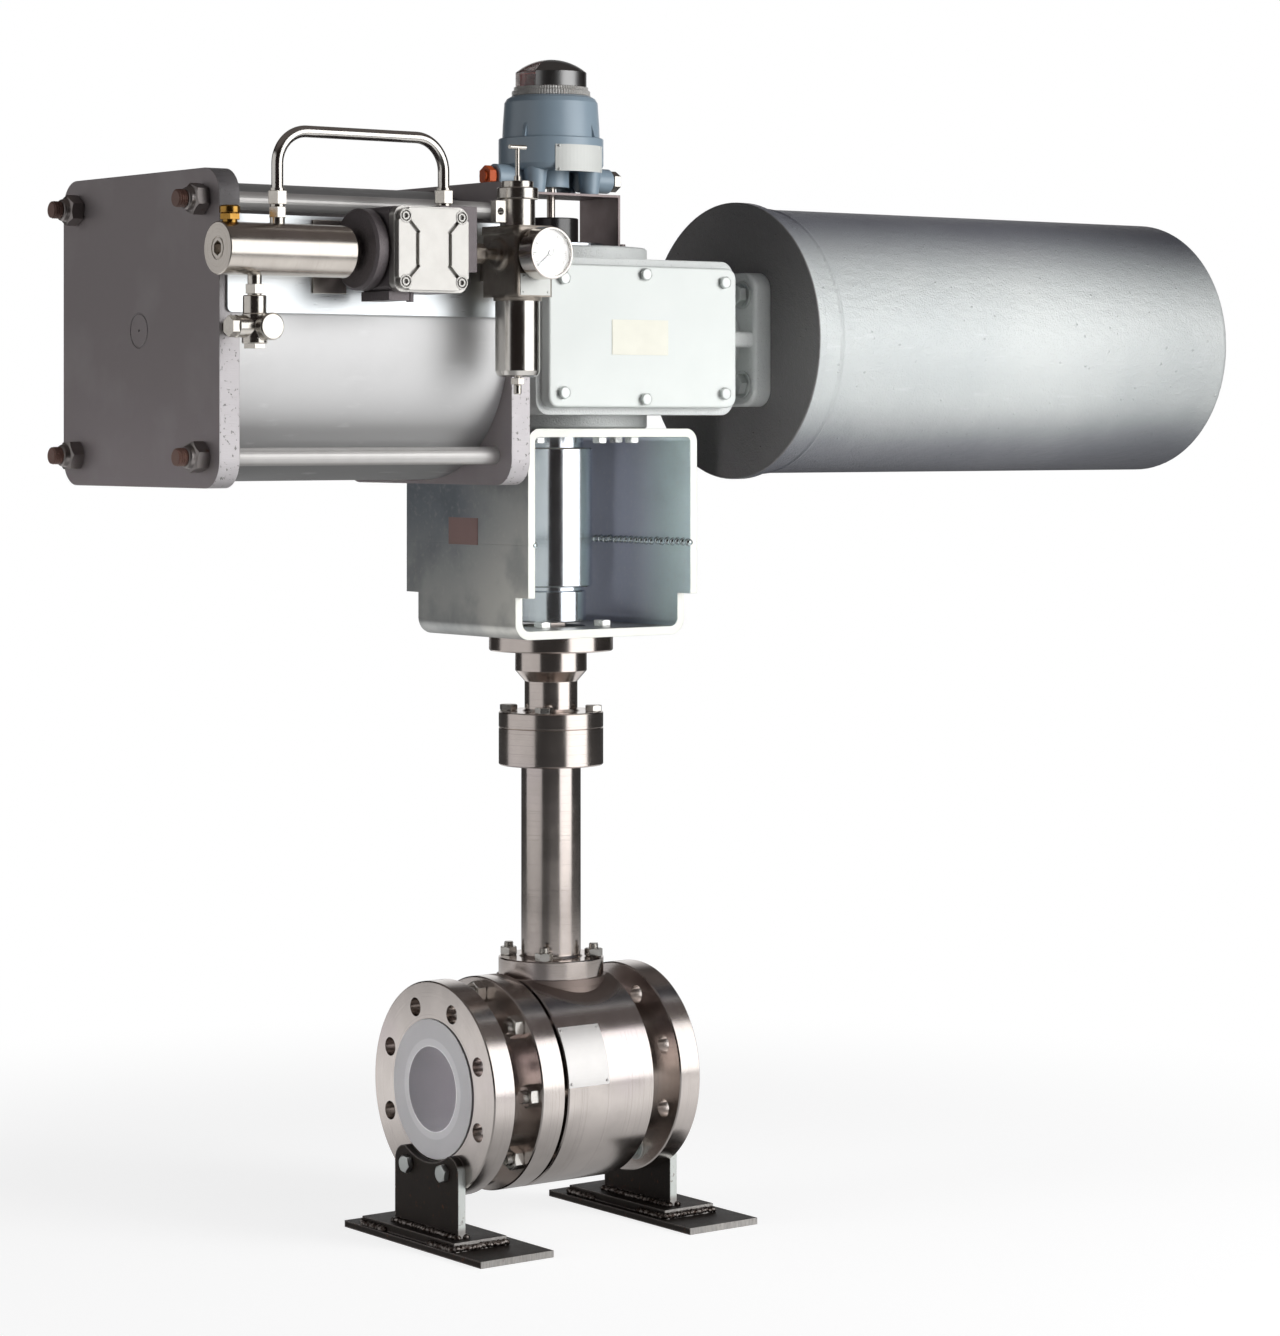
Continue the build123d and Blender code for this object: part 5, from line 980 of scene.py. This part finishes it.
flange_heads, flange_washers = long_and_short(solids("flange_bolts"), limit=0.01)
flange_head = 0.010
m16_d = 0.016
flange_length = size(flange_heads[0]).x - flange_head
flange_bolt = bolt_mesh("flange_bolt", m16_across, flange_head, m16_d, flange_length)
flange_washer = washer_mesh("flange_washer", size(flange_washers[0]).y / 2, size(flange_washers[0]).x, m16_d)
flange_places = []
for index, pair in enumerate(flange_heads):
    left = centre(pair).x < stem_x
    seat_x = pair[1].x - flange_head if left else pair[0].x + flange_head
    turn = turned_hex(to_plus_x if left else to_minus_x, 0.2 + 0.5 * index)
    flange_places.append((seat(pair, x=seat_x), turn))
set_out("flange_bolt_set", flange_bolt, flange_places, bolt_zinc, "valve_frame",
        ["flange_bolts"])
set_out("flange_washer_set", flange_washer,
        [(seat(pair, x=pair[0].x), to_plus_x) for pair in flange_washers],
        bolt_zinc, "valve_frame")


# Spring can: a rolled tube with welded ends, under thick rough grey paint that runs and orange-peels.
can = Finish("rough_can_paint")
can_cloud = can.noise(7, 4.0)
peel = can.noise(95, 5.0, (0.6, 1, 1))
fine_peel = can.noise(480, 3.0)
blob = can.pits(55, 0.12)
can_scratch = can.noise(150, 4.0, (0.12, 1, 1)).rise(0.62, 0.74)
can_low, can_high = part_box("spring_can")
can_half = (can_high.z - can_low.z) / 2
# Painted shade: the can darkens toward its top and bottom, and more low down and toward its far end, in a
# blue-grey tone.
can_up = (can.z - can_low.z - can_half) / can_half + (can_cloud - 0.5) * 0.12
can_off = abs(can_up)
can_far = can.x.rise(can_high.x - 0.36, can_high.x)
can_shade = can_up.rise(-0.3, -1.0) * 0.5 + can_far * (0.22 + can_up.rise(0.2, 0.9) * 0.4)
can_color = can.blend(can_cloud.rise(0.3, 0.7), srgb(206, 211, 211), srgb(216, 220, 219))
can_color = can.blend(can_scratch * 0.3, can_color, srgb(232, 234, 236))
can_color = can.blend(can_off.rise(0.4, 1.0), can_color, srgb(112, 114, 126))
can_color = can.blend(can_shade, can_color, srgb(20, 24, 36))
# Painted shade: the end disc that faces -X is darker.
can_color = can.blend(can.x.rise(can_low.x + 0.003, can_low.x + 0.001), can_color, srgb(128, 126, 126))
can_relief = peel * 1.3 + fine_peel * 0.9 + blob * 1.2
dress(can.surface(can_color, 0.32 + fine_peel * 0.14, 0.3, can_relief, 0.0011, 0.002), "spring_can")


# Control plate: a bright stainless strip across the cylinder that carries the air controls.
strip = Finish("control_strip")
strip_lines = strip.noise(900, 2.0, (0.06, 1, 1))
strip_cloud = strip.noise(12, 3.0)
strip_color = strip.blend(strip_cloud, srgb(206, 212, 216), srgb(226, 229, 230))
dress(strip.surface(strip_color, 0.24 + strip_lines * 0.12, 0.9, strip_lines, 0.00005), "control_plate")


# Spool valve and air fittings: nickel plated and stainless steel, turned along the cylinder's front.
control_low, control_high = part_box("air_tube")
control_y = (control_low.y + control_high.y) / 2
spool_z = 0.970
spool_steel = turned_steel("spool_steel", "x", control_y, spool_z, srgb(212, 205, 197), 0.17)
dress(spool_steel, "spool_valve")

nickel = Finish("nickel_plate")
nickel_cloud = nickel.noise(80, 3.0)
nickel_grain = nickel.noise(600, 2.0)
nickel_color = nickel.blend(nickel_cloud, srgb(196, 190, 182), srgb(220, 216, 209))
nickel_plate = nickel.surface(nickel_color, 0.16 + nickel_grain * 0.12, 1.0, nickel_grain, 0.00006, 0.0008)
dress(nickel_plate, "tube_fittings", "exhaust_valve", "regulator_bonnet", "drain_valve", "regulator_screw")

cast_body = Finish("cast_regulator_body")
body_cloud = cast_body.noise(50, 3.0)
body_grain = cast_body.noise(500, 2.0)
body_color = cast_body.blend(body_cloud, srgb(150, 140, 130), srgb(186, 178, 168))
dress(cast_body.surface(body_color, 0.24 + body_grain * 0.12, 1.0, body_grain + body_cloud, 0.0002, 0.006),
      "regulator_body")

tube_metal = Finish("bent_tube_steel")
tube_cloud = tube_metal.noise(60, 3.0)
tube_color = tube_metal.blend(tube_cloud, srgb(205, 201, 195), srgb(224, 221, 216))
dress(tube_metal.surface(tube_color, 0.14 + tube_cloud * 0.08, 1.0), "air_tube", "filter_bowl")

brass = Finish("brass_breather")
brass_cloud = brass.noise(120, 3.0)
brass_color = brass.blend(brass_cloud, srgb(150, 108, 46), srgb(196, 156, 84))
dress(brass.surface(brass_color, 0.18 + brass_cloud * 0.14, 1.0), "vent_plug", "bronze_bushes")


# Solenoid enclosure: a cast aluminium box in grey lacquer, with a bright cover that has a raised
# cross and four cap screws.
lacquer = Finish("grey_lacquer")
lacquer_sand = lacquer.noise(500, 3.0)
lacquer_cloud = lacquer.noise(30, 3.0)
lacquer_color = lacquer.blend(lacquer_cloud, srgb(106, 99, 101), srgb(128, 121, 123))
dress(lacquer.surface(lacquer_color, 0.38 + lacquer_sand * 0.14, 0.3, lacquer_sand, 0.0007, 0.0012),
      "solenoid_housing")

cover_bright = Finish("bright_cast_cover")
bright_cloud = cover_bright.noise(60, 3.0)
bright_grain = cover_bright.noise(800, 2.0)
bright_color = cover_bright.blend(bright_cloud, srgb(182, 180, 176), srgb(200, 198, 194))
dress(cover_bright.surface(bright_color, 0.3 + bright_grain * 0.1, 0.8, bright_grain, 0.00012, 0.001),
      "solenoid_cover")


# Pressure gauge: a chrome case with a white dial under a flat glass, and a thin black hand.
dial = Finish("gauge_case_and_dial")
dial_low, dial_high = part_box("gauge_case")
dial_x = (dial_low.x + dial_high.x) / 2
dial_z = (dial_low.z + dial_high.z) / 2
dial_r = (dial_high.x - dial_low.x) / 2
dial_reach = reach_of(dial.x - dial_x, dial.z - dial_z)
on_dial = dial_reach.rise(dial_r - 0.0030, dial_r - 0.0034)
on_dial = on_dial * dial.y.rise(dial_low.y + 0.0056, dial_low.y + 0.0052)
dial_angle = dial.math("ARCTAN2", dial.x - dial_x, dial.z - dial_z)
turn_share = (dial_angle + math.pi) / (2 * math.pi)
short_ticks, long_ticks = 60, 12
short_tick = abs(dial.math("FRACT", turn_share * short_ticks) - 0.5).rise(0.36, 0.40)
long_tick = abs(dial.math("FRACT", turn_share * long_ticks) - 0.5).rise(0.455, 0.465)
in_scale = abs(turn_share - 0.5).rise(0.39, 0.385)
short_band = dial_reach.rise(dial_r * 0.70, dial_r * 0.71) * dial_reach.rise(dial_r * 0.78, dial_r * 0.77)
long_band = dial_reach.rise(dial_r * 0.60, dial_r * 0.61) * dial_reach.rise(dial_r * 0.78, dial_r * 0.77)
ink = (short_tick * short_band + long_tick * long_band) * in_scale * on_dial
dial_cloud = dial.noise(90)
case_color = dial.blend(dial_cloud, srgb(200, 194, 188), srgb(222, 217, 212))
dial_color = dial.blend(on_dial, case_color, srgb(244, 243, 240))
dial_color = dial.blend(ink.rise(0.3, 0.6), dial_color, srgb(40, 38, 38))
dress(dial.surface(dial_color, 0.12 + dial_cloud * 0.08 + on_dial * 0.3, 1 - on_dial), "gauge_case")

black = Finish("black_enamel")
black_cloud = black.noise(200)
black_color = black.blend(black_cloud, srgb(18, 17, 18), srgb(34, 32, 33))
black_paint = black.surface(black_color, 0.24 + black_cloud * 0.1, 0.0, black_cloud, 0.00005,
                            extra={"IOR": 2.0})
dress(black_paint, "gauge_pointer", "piston_seal")

glass = Finish("gauge_glass")
glass_cloud = glass.noise(40)
glass_color = glass.blend(glass_cloud, (0.96, 0.96, 0.96), (1.0, 1.0, 1.0))
dress(glass.surface(glass_color, 0.02 + glass_cloud * 0.02, 0.0, soften=0.0,
                    extra={"Transmission Weight": 1.0, "IOR": 1.3}), "gauge_lens")


# Position indicator: a grey-blue enamelled housing on a bent bracket above the hub, under a dark
# moulded dome. The dome has one clear quarter, which shows a red drum that turns with the stem.
brown_plate = Finish("bracket_brown_plate")
brown_cloud = brown_plate.noise(40, 4.0)
brown_lines = brown_plate.noise(300, 2.0, (1, 1, 0.2))
brown_color = brown_plate.blend(brown_cloud, srgb(120, 108, 108), srgb(158, 147, 146))
dress(brown_plate.surface(brown_color, 0.32 + brown_lines * 0.14, 0.8, brown_lines, 0.00012),
      "switch_bracket")

enamel = Finish("blue_grey_enamel")
enamel_cloud = enamel.noise(24, 3.0)
enamel_peel = enamel.noise(80, 2.0)
enamel_color = enamel.blend(enamel_cloud, srgb(138, 156, 170), srgb(146, 164, 177))
dress(enamel.surface(enamel_color, 0.3 + enamel_peel * 0.06, 0.05, enamel_peel, 0.00005, 0.0012,
                     {"IOR": 1.7}), "switch_base", "switch_cover")

shaft = Finish("indicator_shaft_finish")
shaft_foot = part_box("indicator_shaft")[0].z
above_hub = shaft.z.rise(shaft_foot + 0.0302, shaft_foot + 0.0306)
shaft_grain = shaft.noise(500)
shaft_color = shaft.blend(above_hub, srgb(24, 22, 23), srgb(214, 206, 198))
dress(shaft.surface(shaft_color, 0.18 + shaft_grain * 0.08, above_hub, shaft_grain, 0.00003,
                    extra={"IOR": 2.0}), "indicator_shaft")

plugs = Finish("entry_plugs")
left_plug = plugs.x.rise(stem_x + 0.01, stem_x - 0.01)
plug_grain = plugs.noise(300)
plug_color = plugs.blend(left_plug, srgb(206, 202, 196), srgb(196, 84, 30))
plug_rough = 0.2 + left_plug * 0.25 + plug_grain * 0.05
dress(plugs.surface(plug_color, plug_rough, 1 - left_plug, plug_grain, 0.0001), "cable_plugs")

dome = Finish("dark_dome")
dome_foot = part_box("indicator_dome")[0].z
clear_bearing = math.radians(164)
out_x, out_y = dome.x - stem_x, dome.y
facing = (out_x * math.cos(clear_bearing) + out_y * math.sin(clear_bearing)) / reach_of(out_x, out_y)
clear_quarter = facing.rise(0.70, 0.715)
skirt = dome.z.rise(dome_foot + 0.0115, dome_foot + 0.0105)
dome_cloud = dome.noise(60)
around_dome = dome.math("ARCTAN2", out_y, out_x)
knurls_to_radian = 14
knurl = abs(dome.math("FRACT", around_dome * knurls_to_radian) - 0.5) * skirt
painted = dome.shade(dome.blend(dome_cloud, srgb(8, 7, 8), srgb(14, 12, 13)), 0.30 + dome_cloud * 0.04, 0.0,
                     dome_cloud, 0.00002, 0.0008, {"IOR": 3.2})
clear_color = dome.blend(dome_cloud, (0.93, 0.9, 0.88), (1.0, 0.98, 0.96))
clear = dome.shade(clear_color, 0.04 + dome_cloud * 0.04, 0.0, knurl, 0.0015, 0.0,
                   {"Transmission Weight": 1.0, "IOR": 1.45})
see_through = dome.math("MAXIMUM", clear_quarter, skirt)
haze_color = dome.blend(skirt, srgb(120, 86, 84), srgb(186, 184, 180))
hazy = dome.shade(haze_color, 0.2 + dome_cloud * 0.1, 0.0, knurl, 0.0015, 0.0)
moulded = dome.node("ShaderNodeMixShader", inputs={0: 0.35 + skirt * 0.35, 1: clear, 2: hazy})
dress(dome.finish(dome.node("ShaderNodeMixShader", inputs={0: see_through, 1: painted, 2: moulded})),
      "indicator_dome")

drum = Finish("indicator_drum")
drum_cloud = drum.noise(80)
dress(drum.surface(drum.blend(drum_cloud, srgb(150, 22, 20), srgb(176, 34, 30)), 0.4), "indicator_rotor")


# Inner pieces of the drive: piston rod, guide block, yoke pin and spring plate, ground steel, and
# the dark return spring. They are out of sight, but are finished as they leave the workshop.
ground = Finish("ground_steel")
ground_lines = ground.noise(700, 2.0, (0.1, 1, 1))
ground_color = ground.blend(ground_lines, srgb(180, 178, 175), srgb(205, 203, 200))
dress(ground.surface(ground_color, 0.2 + ground_lines * 0.1, 1.0, ground_lines, 0.00004),
      "piston_rod", "guide_block", "yoke_pin", "spring_plate")

oiled = Finish("oiled_spring")
oiled_cloud = oiled.noise(120)
oiled_color = oiled.blend(oiled_cloud, srgb(36, 34, 36), srgb(66, 64, 66))
dress(oiled.surface(oiled_color, 0.3 + oiled_cloud * 0.1, 0.8), "return_spring")


# Nameplates and labels: thin blanks on the body, the bracket, the housing cover, the regulator and
# the switch box. Small rivets hold those on the body, the regulator and the switch box. They carry no
# writing.
def plate_finish(name, tint, rough, metal):
    """Brushed sheet metal or a printed label's blank, a little faded."""
    skin = Finish(name)
    brushed = skin.noise(900, 2.0, (0.2, 0.2, 1))
    faded = skin.noise(60, 3.0)
    color = skin.blend(faded, toned(tint, 0.9), tint)
    return skin.surface(color, rough + brushed * 0.1, metal, brushed, 0.00003)


def fixed_plate(name, mesh, finish, body):
    """Turns a plate's finished mesh into a piece of the object."""
    bmesh.ops.recalc_face_normals(mesh, faces=mesh.faces)
    data = bpy.data.meshes.new(name)
    mesh.to_mesh(data)
    mesh.free()
    data.materials.append(finish)
    made = bpy.data.objects.new(name, data)
    bpy.context.collection.objects.link(made)
    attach(made, body)


def rivet(mesh, spot, radius):
    """Adds a round rivet head to a plate's mesh."""
    bmesh.ops.create_uvsphere(mesh, u_segments=12, v_segments=6, radius=radius,
                              matrix=Matrix.Translation(spot))


def flat_plate(name, corner, across, upward, finish, body, rivets=True, thick=0.0006):
    """Plate with one corner at a point and its sides along two vectors, lying on a flat face."""
    corner, across, upward = Vector(corner), Vector(across), Vector(upward)
    out = across.cross(upward).normalized()
    mesh = bmesh.new()
    bottom = [mesh.verts.new(corner + across * a + upward * b) for a, b in ((0, 0), (1, 0), (1, 1), (0, 1))]
    face = mesh.faces.new(bottom)
    raised = bmesh.ops.extrude_face_region(mesh, geom=[face])["geom"]
    top = [part for part in raised if isinstance(part, bmesh.types.BMVert)]
    bmesh.ops.translate(mesh, vec=out * thick, verts=top)
    if rivets:
        inset = 0.0035
        rivet_r = 0.0011
        side, end = inset / across.length, inset / upward.length
        for b in (end, 1 - end):
            for a in (side, 1 - side):
                rivet(mesh, corner + across * a + upward * b + out * thick, rivet_r)
    fixed_plate(name, mesh, finish, body)


def curved_plate(name, middle, axis, radius, start, end, low, high, finish, body, thick=0.0005):
    """Plate bent round a cylinder; its angle runs from start to end in degrees, its length low to high."""
    steps = 16
    rivet_r = 0.0017
    mesh = bmesh.new()
    rows = []
    for step in range(steps + 1):
        turn = math.radians(start + (end - start) * step / steps)
        row = []
        for reach, along in ((radius, low), (radius + thick, low), (radius + thick, high), (radius, high)):
            if axis == "x":
                point = (along, middle[0] - reach * math.cos(turn), middle[1] + reach * math.sin(turn))
            else:
                point = (middle[0] + reach * math.cos(turn), middle[1] + reach * math.sin(turn), along)
            row.append(mesh.verts.new(point))
        rows.append(row)
    for first, second in zip(rows, rows[1:]):
        for a in range(4):
            mesh.faces.new((first[a], first[(a + 1) % 4], second[(a + 1) % 4], second[a]))
    mesh.faces.new(rows[0])
    mesh.faces.new(rows[-1])
    for row in (rows[1], rows[-2]):
        for share in (0.06, 0.94):
            rivet(mesh, row[1].co.lerp(row[2].co, share), rivet_r)
    fixed_plate(name, mesh, finish, body)


steel_plate = plate_finish("bare_steel_plate", srgb(226, 224, 222), 0.34, 0.6)
cream_plate = plate_finish("bare_cream_plate", srgb(240, 239, 226), 0.4, 0.1)
brown_tag = plate_finish("bare_brown_tag", srgb(138, 112, 108), 0.4, 0.4)
pale_label = plate_finish("bare_pale_label", srgb(226, 228, 224), 0.45, 0.1)
cover_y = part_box("housing_cover")[0].y
bracket_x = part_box("bracket_upper")[0].x
curved_plate("body_plate", (0, 0), "x", radius=0.127, start=3, end=36, low=0.108, high=0.167,
             finish=steel_plate, body="valve_frame")
flat_plate("cover_plate", (0.1255, cover_y, 0.8671), (0.082, 0, 0), (0, 0, 0.041), cream_plate,
           "valve_frame", rivets=False)
flat_plate("bracket_tag", (bracket_x, 0.0361, 0.643), (0, -0.061, 0), (0, 0, 0.032), brown_tag,
           "valve_frame", rivets=False)
flat_plate("regulator_label", (-0.1115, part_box("regulator_body")[0].y + 0.002, 0.9275), (0.040, 0, 0),
           (0, 0, 0.024), pale_label, "valve_frame")
curved_plate("switch_label", (stem_x, 0), "z", radius=0.0635, start=-121, end=-52, low=1.089, high=1.121,
             finish=pale_label, body="valve_frame")
